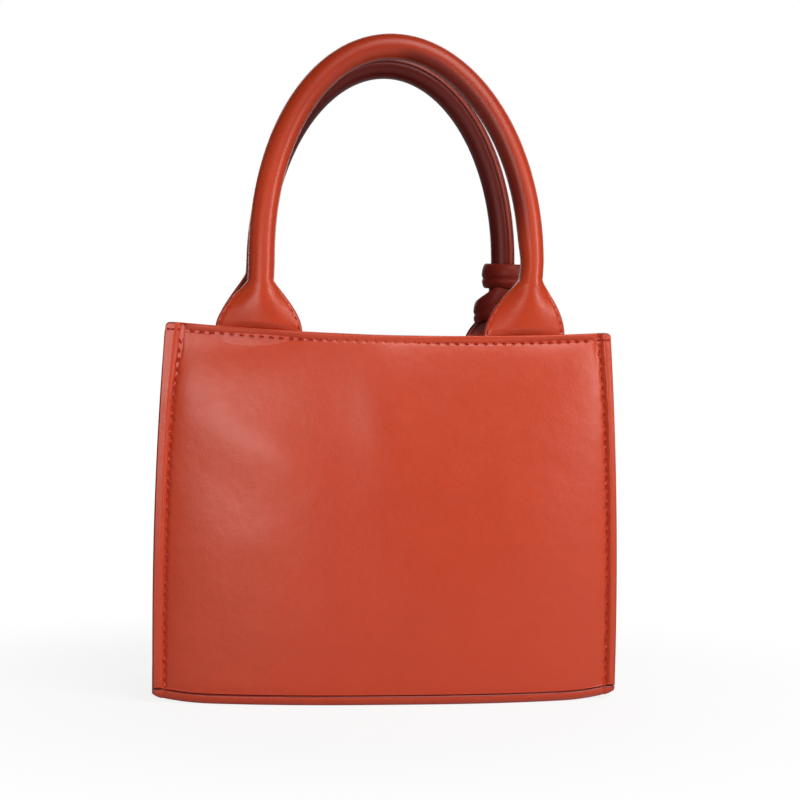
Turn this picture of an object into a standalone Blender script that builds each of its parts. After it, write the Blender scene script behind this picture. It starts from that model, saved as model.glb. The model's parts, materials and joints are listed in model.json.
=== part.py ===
"""Small leather tote bag with two rolled handles and a strap wound round one handle leg.

Metres, +Z up. The front faces -Y, left and right are as seen from the front, and the
origin lies on the floor under the middle of the base.
"""
import math

import bmesh
import bpy
import numpy as np
from mathutils import Vector

# Body of the bag, outside sizes
BASE_WIDTH = 0.2140
TOP_WIDTH = 0.2060
BELLY = 0.0027
BASE_DEPTH = 0.0780
TOP_DEPTH = 0.0640
BASE_BOW = 0.0130
TOP_BOW = 0.0070
PUFF = 0.0030
RIM_CORNER_HEIGHT = 0.1700
RIM_MIDDLE_HEIGHT = 0.1652
CORNER_LIFT = 0.0015
GUSSET_FOLD = 0.0090

# Leather, lining and the seams
PANEL_THICKNESS = 0.0015
GUSSET_THICKNESS = 0.0013
FACING_THICKNESS = 0.0012
LINING_THICKNESS = 0.0008
BOARD_THICKNESS = 0.0018
TAPE_THICKNESS = 0.0018
FLANGE_WIDTH = 0.0053
BASE_STRIP_HEIGHT = 0.0046
FACING_HEIGHT = 0.0250
TAPE_HEIGHT = 0.0140
SEAT_GAP = 0.0004

# Handles
TAB_SPACING = 0.1226
TAB_WIDTH = 0.0390
TAB_THICKNESS = 0.0036
TAB_NOSE_THICKNESS = 0.0024
TAB_FLARE_HEIGHT = 0.0235
TAB_ROOT_DEPTH = 0.0210
HANDLE_SPAN = 0.1262
HANDLE_RISE = 0.1303
ARCH_RISE = 0.0945
TUBE_DIAMETER = 0.0115
COVER_THICKNESS = 0.0012
TAB_WALL = 0.0010
STIFFENER_THICKNESS = 0.0007
HINGE_ABOVE_TAB_END = 0.0027
HINGE_CLEARANCE = 0.0006
HANDLE_LEAN = math.radians(5.0)

# Strap wound round the right leg of the rear handle, which gathers that leg's tab
GATHERED_FLARE_HEIGHT = 0.0090
GATHERED_TAB_WIDTH = 0.0300
STRAP_WIDTH = 0.0100
STRAP_THICKNESS = 0.0030
STRAP_LAYER_GAP = 0.0010
STRAP_TOP_TURN_HEIGHT = 0.0275
STRAP_CROSSING_HEIGHT = 0.0200
STRAP_LOW_TURN_HEIGHT = 0.0130
STRAP_END_HEIGHT = 0.0117
STRAP_TILT = math.radians(15.0)
STRAP_START = math.radians(95.0)
STRAP_TURNS = 2.05

# Curves as shares and exponents
BOW_SHAPE = 2.6
RIM_SHAPE = 2.0
FLARE_SHAPE = 0.62
CONE_SHAPE = 1.5
FLAT_CORNER_SHAPE = 0.45
STIFFENER_WIDTH_SHARE = 0.8
STIFFENER_END_SHARE = 0.55
BOARD_LENGTH_SHARE = 0.78
LIFT_START_SHARE = 0.8
FLARE_STEP_SHARES = (0.0, 0.05, 0.13, 0.26, 0.42, 0.58, 0.74, 0.87, 0.95, 1.0)
CORNER_STEP_SHARES = (0.0, 0.30, 0.65, 1.0)

# Grid counts
PANEL_COLUMNS = 16
PANEL_ROWS = 8
LINING_COLUMNS = 10
LINING_ROWS = 4
GUSSET_COLUMNS = 8
GUSSET_ROWS = 7
TAB_COLUMNS = 4
TAB_ROWS = 3
SECTION_POINTS = 16
LEG_STEPS = 4
ARCH_STEPS = 9
STRAP_STEPS = 72

LEATHER = ("orange_leather", (0.50, 0.065, 0.030), 0.42)
LINING = ("lining_cloth", (0.30, 0.055, 0.035), 0.85)
BOARD = ("grey_board", (0.30, 0.28, 0.25), 0.90)
TAPE = ("rim_tape", (0.45, 0.40, 0.33), 0.85)
CORD = ("cotton_cord", (0.70, 0.64, 0.52), 0.90)


def clear_scene():
    """Remove whatever the scene holds."""
    for obj in list(bpy.data.objects):
        bpy.data.objects.remove(obj, do_unlink=True)


def make_material(spec):
    """Principled material from a (name, colour, roughness) triple."""
    name, colour, roughness = spec
    material = bpy.data.materials.get(name) or bpy.data.materials.new(name)
    material.use_nodes = True
    shader = material.node_tree.nodes["Principled BSDF"]
    shader.inputs["Base Color"].default_value = (*colour, 1.0)
    shader.inputs["Roughness"].default_value = roughness
    shader.inputs["Metallic"].default_value = 0.0
    material.diffuse_color = (*colour, 1.0)
    return material


def add_object(name, mesh, spec, parent=None):
    """Put a mesh in the bag's collection as one named part."""
    obj = bpy.data.objects.new(name, mesh)
    bpy.data.collections["tote_bag"].objects.link(obj)
    material = make_material(spec)
    material.name = f"{name}_{spec[0]}"
    mesh.materials.append(material)
    obj.parent = parent
    return obj


def shares_between(low, high, count):
    """Evenly spaced values from low to high, both included."""
    return [low + (high - low) * i / count for i in range(count + 1)]


def grid_mesh(name, columns, rows, place):
    """A grid primitive whose corner at column i and row j goes to place(column, row)."""
    sheet = bmesh.new()
    bmesh.ops.create_grid(
        sheet, x_segments=len(columns) - 1, y_segments=len(rows) - 1, size=1.0)
    for vertex in sheet.verts:
        i = round((vertex.co.x + 1.0) / 2.0 * (len(columns) - 1))
        j = round((vertex.co.y + 1.0) / 2.0 * (len(rows) - 1))
        vertex.co = place(columns[i], rows[j])
    mesh = bpy.data.meshes.new(name)
    sheet.to_mesh(mesh)
    sheet.free()
    return mesh


def thicken(obj, thickness):
    """Give an open surface its wall, half on each side."""
    solid = obj.modifiers.new("wall", "SOLIDIFY")
    solid.thickness = thickness
    solid.offset = 0.0
    solid.use_even_offset = True
    return obj


def smoothstep(value):
    """Ease from 0 to 1."""
    value = min(max(value, 0.0), 1.0)
    return value * value * (3.0 - 2.0 * value)


def height_share(z):
    return z / RIM_CORNER_HEIGHT


def belly(z):
    """One at mid height, nothing at the floor and the rim."""
    t = height_share(z)
    return 4.0 * t * (1.0 - t)


def seam_half_width(z):
    """Half the width between the two side stitch lines at a height."""
    straight = BASE_WIDTH + (TOP_WIDTH - BASE_WIDTH) * height_share(z)
    return straight / 2.0 + BELLY * belly(z) - FLANGE_WIDTH


def corner_half_depth(z):
    """Half the depth between the front and rear seam flanges at a height."""
    return (BASE_DEPTH + (TOP_DEPTH - BASE_DEPTH) * height_share(z)) / 2.0


def bow(z):
    """How far the middle of a panel stands out from its side flanges."""
    return BASE_BOW + (TOP_BOW - BASE_BOW) * height_share(z) + PUFF * belly(z)


def rim_height(across):
    """Height of the top edge at a share of the half width."""
    rise = RIM_CORNER_HEIGHT - RIM_MIDDLE_HEIGHT
    return RIM_MIDDLE_HEIGHT + rise * abs(across) ** RIM_SHAPE


def corner_lift(across):
    """The base stands flat and only its ends curl up a little."""
    past = max(0.0, (abs(across) - LIFT_START_SHARE) / (1.0 - LIFT_START_SHARE))
    return CORNER_LIFT * past * past


def panel_point(side, across, flange, z, inset, margin=0.0):
    """Point of a layer of the front (side -1) or rear (side 1) wall.

    The wall bows out between the stitch lines as 1 - |across|^BOW_SHAPE and is flat in
    the flanges; inset moves the layer into the bag, margin draws its ends in.
    """
    x = across * (seam_half_width(z) - margin) + flange * FLANGE_WIDTH
    y = corner_half_depth(z) + bow(z) * (1.0 - abs(across) ** BOW_SHAPE) - inset
    return Vector((x, side * y, z))


def wall_layer(name, side, columns, row_shares, low, high, inset, spec, thickness, margin=0.0):
    """A layer of the front or rear wall, between two heights given as functions."""

    def place(column, row):
        across, flange = column
        bottom = low(across)
        z = bottom + (high(across) - bottom) * row
        return panel_point(side, across, flange, z, inset, margin)

    mesh = grid_mesh(name, columns, row_shares, place)
    return thicken(add_object(name, mesh, spec), thickness)


def plain_columns(low, high, count):
    return [(share, 0.0) for share in shares_between(low, high, count)]


def make_panel(name, side):
    """Outer leather of the front or rear, with its flat seam flanges."""
    columns = [(-1.0, -1.0)] + plain_columns(-1.0, 1.0, PANEL_COLUMNS) + [(1.0, 1.0)]
    wall_layer(
        name, side, columns, shares_between(0.0, 1.0, PANEL_ROWS),
        lambda across: BASE_STRIP_HEIGHT + SEAT_GAP + corner_lift(across),
        rim_height, 0.0, LEATHER, PANEL_THICKNESS)


def base_edge_radius():
    """Radius of the base leather where it turns up at front and rear, at mid thickness."""
    return BASE_STRIP_HEIGHT - PANEL_THICKNESS / 2.0


def make_base_panel():
    """Base leather: flat below, turned up in a quarter round at front and rear."""
    radius = base_edge_radius()
    turns = [math.radians(angle) for angle in (0.0, 22.5, 45.0, 67.5, 90.0)]
    flats = shares_between(-1.0, 1.0, 6)[1:-1]
    rows = [(-1.0, turn) for turn in turns]
    rows += [(flat, None) for flat in flats]
    rows += [(1.0, turn) for turn in reversed(turns)]

    def place(column, row):
        across, flange = column
        end, turn = row
        edge = panel_point(1.0, across, flange, BASE_STRIP_HEIGHT, 0.0)
        middle = edge.y - radius
        if turn is None:
            y = end * middle
            z = PANEL_THICKNESS / 2.0
        else:
            y = end * (middle + radius * math.cos(turn))
            z = BASE_STRIP_HEIGHT - radius * math.sin(turn)
        return Vector((edge.x, y, z + corner_lift(across)))

    columns = [(-1.0, -1.0)] + plain_columns(-1.0, 1.0, PANEL_COLUMNS) + [(1.0, 1.0)]
    mesh = grid_mesh("base_panel", columns, rows, place)
    thicken(add_object("base_panel", mesh, LEATHER), PANEL_THICKNESS)


def lip_inset():
    """From the middle of the outer leather to the middle of the gusset's lip behind it."""
    return PANEL_THICKNESS / 2.0 + SEAT_GAP + GUSSET_THICKNESS / 2.0


def gusset_fold(y, z):
    """How far the gusset is folded in, most at the middle of the mouth."""
    share = y / (corner_half_depth(z) - lip_inset())
    return GUSSET_FOLD * height_share(z) ** 1.5 * math.cos(share * math.pi / 2.0) ** 2


def gusset_corner_centre():
    """Height of the centre of the rounded lower corner of the gusset."""
    return BASE_STRIP_HEIGHT + CORNER_LIFT


def make_gusset(name, side):
    """Side leather: a web folded in at the mouth, with a lip turned out on three sides."""
    radius = base_edge_radius() - lip_inset()
    centre = gusset_corner_centre()
    low_rows = [centre - radius * math.cos(share * math.pi / 2.0) for share in CORNER_STEP_SHARES]
    rows = low_rows + shares_between(centre, RIM_CORNER_HEIGHT, GUSSET_ROWS)[1:]

    def place(c, z):
        drop = max(0.0, centre - z)
        rounding = radius - math.sqrt(max(0.0, radius ** 2 - drop ** 2))
        half = corner_half_depth(z) - lip_inset() - rounding
        x = seam_half_width(z) - gusset_fold(c * half, z)
        return Vector((side * x, c * half, z))

    columns = shares_between(-1.0, 1.0, GUSSET_COLUMNS)
    mesh = grid_mesh(name, columns, rows, place)
    sheet = bmesh.new()
    sheet.from_mesh(mesh)
    top = RIM_CORNER_HEIGHT - SEAT_GAP / 2.0
    rims = [e for e in sheet.edges if e.is_boundary and min(v.co.z for v in e.verts) < top]
    lips = bmesh.ops.extrude_edge_only(sheet, edges=rims)["geom"]
    for vertex in [item for item in lips if isinstance(item, bmesh.types.BMVert)]:
        vertex.co.x += side * FLANGE_WIDTH
    bmesh.ops.recalc_face_normals(sheet, faces=sheet.faces)
    sheet.to_mesh(mesh)
    sheet.free()
    thicken(add_object(name, mesh, LEATHER), GUSSET_THICKNESS)


def side_layer(name, side, low, high, inset, spec, thickness):
    """A layer inside a gusset, parallel to its web, clear of the front and rear layers."""
    keep_clear = PANEL_THICKNESS / 2.0 + facing_inset() + FACING_THICKNESS

    def place(c, z):
        half = corner_half_depth(z) - keep_clear
        x = seam_half_width(z) - gusset_fold(c * half, z) - inset
        return Vector((side * x, c * half, z))

    columns = shares_between(-1.0, 1.0, GUSSET_COLUMNS)
    mesh = grid_mesh(name, columns, shares_between(low, high, LINING_ROWS), place)
    thicken(add_object(name, mesh, spec), thickness)


def root_inset():
    """From the middle of the outer leather to the middle of a sewn-in tab root."""
    return (PANEL_THICKNESS + TAB_THICKNESS) / 2.0 - TAB_WALL / 2.0 + SEAT_GAP


def root_thickness():
    return TAB_THICKNESS - TAB_WALL


def facing_inset():
    """From the middle of the outer leather to the middle of the inside facing."""
    return root_inset() + (root_thickness() + FACING_THICKNESS) / 2.0 + SEAT_GAP


def lining_floor():
    """Height at which the wall linings start, over the lining of the base."""
    return base_lining_height() + LINING_THICKNESS / 2.0 + CORNER_LIFT + SEAT_GAP


def base_lining_height():
    return PANEL_THICKNESS + BOARD_THICKNESS + LINING_THICKNESS / 2.0 + 2.0 * SEAT_GAP


def wall_margin():
    """How far the ends of the inside layers stay from the stitch lines."""
    return GUSSET_THICKNESS + LINING_THICKNESS + FACING_THICKNESS + 3.0 * SEAT_GAP


def tab_half_share():
    """Half the width of a tab root as a share of the half width at the rim."""
    return TAB_WIDTH / 2.0 / seam_half_width(RIM_CORNER_HEIGHT)


def tab_centre_share():
    return TAB_SPACING / 2.0 / seam_half_width(RIM_CORNER_HEIGHT)


def make_rim(word, side):
    """Facing, stiffening tape and the two sewn-in tab roots inside one top edge."""
    rows = shares_between(0.0, 1.0, TAB_ROWS)
    wall_layer(
        f"{word}_facing", side, plain_columns(-1.0, 1.0, PANEL_COLUMNS), rows,
        lambda across: rim_height(across) - FACING_HEIGHT,
        lambda across: rim_height(across) - SEAT_GAP,
        facing_inset(), LEATHER, FACING_THICKNESS, wall_margin())

    centre = tab_centre_share()
    half = tab_half_share()
    for name, middle in (("left", -centre), ("right", centre)):
        columns = plain_columns(middle - half, middle + half, TAB_COLUMNS)
        wall_layer(
            f"{word}_{name}_tab_root", side, columns, rows,
            lambda across: rim_height(across) - TAB_ROOT_DEPTH,
            rim_height, root_inset(), LEATHER, root_thickness())

    end = 1.0 - wall_margin() / seam_half_width(RIM_CORNER_HEIGHT)
    clear = half + 2.0 * SEAT_GAP / seam_half_width(RIM_CORNER_HEIGHT)
    stretches = (
        ("left", -end, -centre - clear),
        ("middle", -centre + clear, centre - clear),
        ("right", centre + clear, end))
    for name, low, high in stretches:
        wall_layer(
            f"{word}_{name}_rim_tape", side, plain_columns(low, high, TAB_COLUMNS), (0.0, 1.0),
            lambda across: rim_height(across) - SEAT_GAP - TAPE_HEIGHT,
            lambda across: rim_height(across) - SEAT_GAP,
            tape_inset(), TAPE, TAPE_THICKNESS)


def tape_inset():
    """The tape lies on the inside of the outer leather."""
    return (PANEL_THICKNESS + TAPE_THICKNESS) / 2.0 + SEAT_GAP


def make_lining():
    """Front, rear, side and base lining and the side facings."""
    inset = (PANEL_THICKNESS + LINING_THICKNESS) / 2.0 + SEAT_GAP
    for word, side in (("front", -1.0), ("rear", 1.0)):
        wall_layer(
            f"{word}_lining", side, plain_columns(-1.0, 1.0, LINING_COLUMNS),
            shares_between(0.0, 1.0, LINING_ROWS), lambda across: lining_floor(),
            lambda across: rim_height(across) - FACING_HEIGHT - 2.0 * SEAT_GAP,
            inset, LINING, LINING_THICKNESS, wall_margin())
    top = RIM_CORNER_HEIGHT - SEAT_GAP
    low_edge = RIM_CORNER_HEIGHT - FACING_HEIGHT
    for word, side in (("left", -1.0), ("right", 1.0)):
        side_inset = (GUSSET_THICKNESS + LINING_THICKNESS) / 2.0 + 2.0 * SEAT_GAP
        side_layer(
            f"{word}_lining", side, lining_floor(), low_edge - 2.0 * SEAT_GAP,
            side_inset, LINING, LINING_THICKNESS)
        side_inset = (GUSSET_THICKNESS + FACING_THICKNESS) / 2.0 + 2.0 * SEAT_GAP
        side_layer(f"{word}_facing", side, low_edge, top, side_inset, LEATHER, FACING_THICKNESS)


def base_layer(name, length_share, margin, height, spec, thickness):
    """A flat layer on the base, following the outline of the base leather."""
    rows = shares_between(-1.0, 1.0, LINING_ROWS)

    def place(column, row):
        across = column[0] * length_share
        edge = panel_point(1.0, across, 0.0, BASE_STRIP_HEIGHT, margin, wall_margin())
        return Vector((edge.x, row * edge.y, height + corner_lift(across)))

    mesh = grid_mesh(name, plain_columns(-1.0, 1.0, PANEL_COLUMNS), rows, place)
    thicken(add_object(name, mesh, spec), thickness)


def make_base_inside():
    """Stiffening board and its lining cover."""
    board_height = PANEL_THICKNESS + SEAT_GAP + BOARD_THICKNESS / 2.0
    base_layer(
        "base_board", BOARD_LENGTH_SHARE, BASE_STRIP_HEIGHT, board_height, BOARD, BOARD_THICKNESS)
    lining_margin = PANEL_THICKNESS + 2.0 * SEAT_GAP
    base_layer(
        "base_lining", 1.0, lining_margin, base_lining_height(), LINING, LINING_THICKNESS)


class Leg:
    """One leg of a handle: its side, and the height and width of the tab it flares into."""

    def __init__(self, side, flare_height, tab_width):
        self.side = side
        self.flare_height = flare_height
        self.tab_width = tab_width

    def half_width(self, h):
        """Bell outline: the tube's radius plus a power of the way down the flare."""
        down = max(0.0, 1.0 - h / self.flare_height)
        return TUBE_DIAMETER / 2.0 + (self.tab_width - TUBE_DIAMETER) / 2.0 * down ** FLARE_SHAPE

    def half_thickness(self, h):
        """Cone from the tube's radius down to the flat tab, with a narrowed nose."""
        up = min(1.0, h / self.flare_height)
        flat = TAB_THICKNESS / 2.0
        nose_height = TAB_THICKNESS / 2.0
        nose = (TAB_THICKNESS - TAB_NOSE_THICKNESS) / 2.0 * max(0.0, 1.0 - h / nose_height)
        return flat + (TUBE_DIAMETER / 2.0 - flat) * up ** CONE_SHAPE - nose

    def corner_shape(self, h):
        """Exponent of the section: 1 is an ellipse, less is a flat with tight corners."""
        up = min(1.0, h / self.flare_height)
        return FLAT_CORNER_SHAPE + (1.0 - FLAT_CORNER_SHAPE) * up

    def wall(self, h):
        up = min(1.0, h / self.flare_height)
        return TAB_WALL + (COVER_THICKNESS - TAB_WALL) * up


def arch_start():
    """Height above the tab end at which the straight leg goes over into the arch."""
    return HANDLE_RISE - ARCH_RISE


def leg_offset(h):
    """Distance of the leg's centre line from the middle of the bag."""
    spread = (HANDLE_SPAN - TAB_SPACING) / 2.0
    return TAB_SPACING / 2.0 + spread * smoothstep(h / arch_start())


def rim_slope():
    """Slope of the rim under a tab, which the tab's end follows."""
    half = tab_half_share()
    outer = rim_height(tab_centre_share() + half)
    inner = rim_height(tab_centre_share() - half)
    return (outer - inner) / TAB_WIDTH


def ring(centre, across, half_width, half_thickness, corner, slope, squeeze):
    """Closed section round a point of the handle, in the handle's own plane frame.

    The width runs along across, the thickness along Y, both as powers of cosine and sine.
    """
    angles = [2.0 * math.pi * i / SECTION_POINTS for i in range(SECTION_POINTS)]
    points = []
    for angle in angles:
        c = math.cos(angle)
        s = math.sin(angle)
        wide = half_width * math.copysign(abs(c) ** corner, c)
        deep = half_thickness * math.copysign(abs(s) ** corner, s)
        lift = slope * wide * squeeze
        points.append(centre + across * wide + Vector((0.0, deep, lift)))
    return points


def leg_stations(leg, shares, inner):
    """Sections of a tab from its end up to the top of its flare."""
    stations = []
    for share in shares:
        h = leg.flare_height * share
        trim = leg.wall(h) if inner else 0.0
        centre = Vector((leg.side * leg_offset(h), 0.0, h - HINGE_ABOVE_TAB_END))
        across = Vector((leg.side, 0.0, 0.0))
        stations.append(ring(
            centre, across, leg.half_width(h) - trim, leg.half_thickness(h) - trim,
            leg.corner_shape(h), rim_slope(), 1.0 - share))
    return stations


def centre_line(left, right):
    """Points and sideways directions of the round part, from the left leg to the right."""
    points = []
    start = arch_start()
    for h in shares_between(left.flare_height, start, LEG_STEPS)[1:]:
        points.append((Vector((-leg_offset(h), 0.0, h)), Vector((-1.0, 0.0, 0.0))))
    for i in range(1, 2 * ARCH_STEPS):
        angle = math.pi * (1.0 - i / (2.0 * ARCH_STEPS))
        x = HANDLE_SPAN / 2.0 * math.cos(angle)
        h = start + ARCH_RISE * math.sin(angle)
        outward = Vector((ARCH_RISE * math.cos(angle), 0.0, HANDLE_SPAN / 2.0 * math.sin(angle)))
        points.append((Vector((x, 0.0, h)), outward.normalized()))
    for h in reversed(shares_between(right.flare_height, start, LEG_STEPS)[1:]):
        points.append((Vector((leg_offset(h), 0.0, h)), Vector((1.0, 0.0, 0.0))))
    return points


def round_stations(left, right, radius):
    """Circular sections along the round part of the handle."""
    stations = []
    for point, outward in centre_line(left, right):
        centre = point - Vector((0.0, 0.0, HINGE_ABOVE_TAB_END))
        stations.append(ring(centre, outward, radius, radius, 1.0, 0.0, 0.0))
    return stations


def loft(name, outer, inner=None):
    """Closed body through rings of equal count: a tube with a bore, or a solid bar."""
    count = len(outer[0])
    vertices = [point for points in outer for point in points]
    faces = []

    def skin(start, stations, turn):
        for k in range(stations - 1):
            for i in range(count):
                a = start + k * count + i
                b = start + k * count + (i + 1) % count
                quad = (a, b, b + count, a + count)
                faces.append(quad if turn else quad[::-1])

    skin(0, len(outer), True)
    last = (len(outer) - 1) * count
    if inner is None:
        faces.append(tuple(reversed(range(count))))
        faces.append(tuple(range(last, last + count)))
    else:
        base = len(vertices)
        vertices += [point for points in inner for point in points]
        skin(base, len(inner), False)
        for i in range(count):
            j = (i + 1) % count
            faces.append((j, i, base + i, base + j))
            faces.append((last + i, last + j, base + last + j, base + last + i))
    mesh = bpy.data.meshes.new(name)
    mesh.from_pydata([tuple(vertex) for vertex in vertices], [], faces)
    body = bmesh.new()
    body.from_mesh(mesh)
    bmesh.ops.recalc_face_normals(body, faces=body.faces)
    body.to_mesh(mesh)
    body.free()
    mesh.shade_smooth()
    return mesh


def cover_rings(left, right, inner):
    """All sections of a handle cover, from the left tab's end to the right tab's end."""
    radius = TUBE_DIAMETER / 2.0 - (COVER_THICKNESS if inner else 0.0)
    start = leg_stations(left, FLARE_STEP_SHARES, inner)
    end = leg_stations(right, FLARE_STEP_SHARES, inner)[::-1]
    middle = round_stations(left, right, radius)
    # The sideways direction turns from -X on the left leg to +X on the right one, so a
    # section keeps its outer side outside all the way round.
    return start + middle + end


def make_core(name, left, right, hinge):
    """Cord core of the round part, a bevelled curve that stops where the tabs flare."""
    curve = bpy.data.curves.new(name, "CURVE")
    curve.dimensions = "3D"
    curve.bevel_depth = TUBE_DIAMETER / 2.0 - COVER_THICKNESS - SEAT_GAP
    curve.bevel_resolution = 1
    curve.use_fill_caps = True
    points = [point for point, outward in centre_line(left, right)]
    spline = curve.splines.new("POLY")
    spline.points.add(len(points) - 1)
    for control, point in zip(spline.points, points):
        control.co = (point.x, 0.0, point.z - HINGE_ABOVE_TAB_END, 1.0)
    obj = bpy.data.objects.new(name, curve)
    bpy.data.collections["tote_bag"].objects.link(obj)
    curve.materials.append(make_material(CORD))
    obj.parent = hinge
    return obj


def make_stiffener(name, leg, hinge):
    """Thin plate in the flat of a tab."""
    shares = [share for share in FLARE_STEP_SHARES[1:] if share <= STIFFENER_END_SHARE]
    stations = []
    for share in shares:
        h = leg.flare_height * share
        width = (leg.half_width(h) - leg.wall(h)) * STIFFENER_WIDTH_SHARE
        centre = Vector((leg.side * leg_offset(h), 0.0, h - HINGE_ABOVE_TAB_END))
        across = Vector((leg.side, 0.0, 0.0))
        stations.append(ring(
            centre, across, width, STIFFENER_THICKNESS / 2.0, FLAT_CORNER_SHAPE,
            rim_slope(), 1.0 - share))
    add_object(name, loft(name, stations), BOARD, hinge)


def hinge_place(side):
    """Middle of the line in the rim about which a handle folds."""
    across = tab_centre_share()
    z = rim_height(across) + HINGE_CLEARANCE + HINGE_ABOVE_TAB_END
    y = panel_point(side, across, 0.0, rim_height(across), root_inset()).y
    return Vector((0.0, y, z))


def make_hinge(name, side):
    """Empty on a handle's folding line, leaning into the bag as the handle stands."""
    hinge = bpy.data.objects.new(name, None)
    bpy.data.collections["tote_bag"].objects.link(hinge)
    hinge.location = hinge_place(side)
    hinge.rotation_euler = (side * HANDLE_LEAN, 0.0, 0.0)
    return hinge


def make_handle(word, side, left, right):
    """Rolled handle: leather cover with flared tabs, cord core and tab stiffeners."""
    hinge = make_hinge(f"{word}_handle_hinge", side)
    name = f"{word}_handle_cover"
    mesh = loft(name, cover_rings(left, right, False), cover_rings(left, right, True))
    add_object(name, mesh, LEATHER, hinge)
    make_core(f"{word}_handle_core", left, right, hinge)
    make_stiffener(f"{word}_left_tab_stiffener", left, hinge)
    make_stiffener(f"{word}_right_tab_stiffener", right, hinge)
    return hinge


def strap_path(turned):
    """Distance from the leg's axis and height of the strap after an angle in radians.

    The top turn lies flat and close to the leg. Behind the leg the strap climbs over its own
    start, comes down across the front over the top turn's lower edge, and goes round again.
    """
    degrees = math.degrees(turned)
    close = TUBE_DIAMETER / 2.0 + SEAT_GAP + STRAP_THICKNESS / 2.0
    over = close + STRAP_THICKNESS + STRAP_LAYER_GAP
    radius = close + (over - close) * smoothstep((degrees - 240.0) / 90.0)
    radius += 2.0 * SEAT_GAP * smoothstep((degrees - 540.0) / 60.0)
    height = STRAP_TOP_TURN_HEIGHT
    height += (STRAP_CROSSING_HEIGHT - height) * smoothstep((degrees - 250.0) / 200.0)
    height += (STRAP_LOW_TURN_HEIGHT - STRAP_CROSSING_HEIGHT) * smoothstep((degrees - 440.0) / 180.0)
    height += (STRAP_END_HEIGHT - STRAP_LOW_TURN_HEIGHT) * smoothstep((degrees - 640.0) / 90.0)
    tilt = STRAP_TILT * smoothstep((degrees - 480.0) / 120.0)
    return radius, height, tilt


def strap_point(turned, leg):
    """Centre of the strap's section, and its thickness and width directions."""
    radius, height, tilt = strap_path(turned)
    angle = STRAP_START - turned
    outward = Vector((math.cos(angle), math.sin(angle), 0.0))
    axis = Vector((leg.side * leg_offset(height), 0.0, -HINGE_ABOVE_TAB_END))
    centre = axis + outward * radius + Vector((0.0, 0.0, height))
    return centre, outward, tilt


def make_strap(name, leg, hinge):
    """Flat strap in two turns round a leg, swept as one unbroken strip."""
    total = 2.0 * math.pi * STRAP_TURNS
    step = total / STRAP_STEPS
    edge = min(STRAP_THICKNESS, STRAP_WIDTH) / 4.0
    half_t = STRAP_THICKNESS / 2.0
    half_w = STRAP_WIDTH / 2.0
    outline = [
        (half_t - edge, -half_w), (half_t, -half_w + edge), (half_t, half_w - edge),
        (half_t - edge, half_w), (edge - half_t, half_w), (-half_t, half_w - edge),
        (-half_t, edge - half_w), (edge - half_t, -half_w)]
    stations = []
    for k in range(STRAP_STEPS + 1):
        turned = step * k
        centre, outward, tilt = strap_point(turned, leg)
        ahead = strap_point(turned + step / 2.0, leg)[0]
        behind = strap_point(turned - step / 2.0, leg)[0]
        along = (ahead - behind).normalized()
        flat = outward.cross(along).normalized()
        normal = along.cross(flat).normalized()
        if normal.dot(outward) < 0.0:
            normal = -normal
        upward = flat if flat.z > 0.0 else -flat
        thick_dir = normal * math.cos(tilt) + upward * math.sin(tilt)
        width_dir = upward * math.cos(tilt) - normal * math.sin(tilt)
        stations.append([centre + thick_dir * t + width_dir * w for t, w in outline])
    print(f"strap: least gap to itself {strap_self_gap(stations) * 1000.0:.2f} mm")
    add_object(name, loft(name, stations), LEATHER, hinge)


def strap_self_gap(stations):
    """Least distance between points of the strip that lie over a third of a turn apart.

    The sections are filled in along their edges, so a near miss between corners is seen.
    """
    fill = np.linspace(0.0, 1.0, 9)[:-1, None]
    rings = []
    for points in stations:
        corners = np.array([tuple(point) for point in points])
        following = np.roll(corners, -1, axis=0)
        rings.append(np.concatenate(
            [a + (b - a) * fill for a, b in zip(corners, following)]))
    rings = np.array(rings)
    apart = int(STRAP_STEPS / STRAP_TURNS / 3.0)
    least = math.inf
    for k in range(len(rings) - apart):
        others = rings[k + apart:].reshape(-1, 3)
        gaps = np.linalg.norm(rings[k][:, None, :] - others[None, :, :], axis=2)
        least = min(least, float(gaps.min()))
    return least


def build():
    """Make every part of the bag."""
    clear_scene()
    collection = bpy.data.collections.get("tote_bag") or bpy.data.collections.new("tote_bag")
    if collection.name not in bpy.context.scene.collection.children:
        bpy.context.scene.collection.children.link(collection)

    make_base_panel()
    make_base_inside()
    make_lining()
    for word, side in (("front", -1.0), ("rear", 1.0)):
        make_panel(f"{word}_panel", side)
        make_rim(word, side)
    for word, side in (("left", -1.0), ("right", 1.0)):
        make_gusset(f"{word}_gusset", side)

    left = Leg(-1.0, TAB_FLARE_HEIGHT, TAB_WIDTH)
    right = Leg(1.0, TAB_FLARE_HEIGHT, TAB_WIDTH)
    gathered = Leg(1.0, GATHERED_FLARE_HEIGHT, GATHERED_TAB_WIDTH)
    make_handle("front", -1.0, left, right)
    rear_hinge = make_handle("rear", 1.0, left, gathered)
    make_strap("knot_strap", gathered, rear_hinge)


build()
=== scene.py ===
"""Looks of a small leather tote bag with two rolled handles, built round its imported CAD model.

Metres, +Z up. The front faces -Y, left and right are as seen from the front, and the origin
lies on the floor under the middle of the base.
"""
import json
import math
from collections import namedtuple

import bmesh
import bpy
import numpy as np
from mathutils import Matrix, Vector


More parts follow.
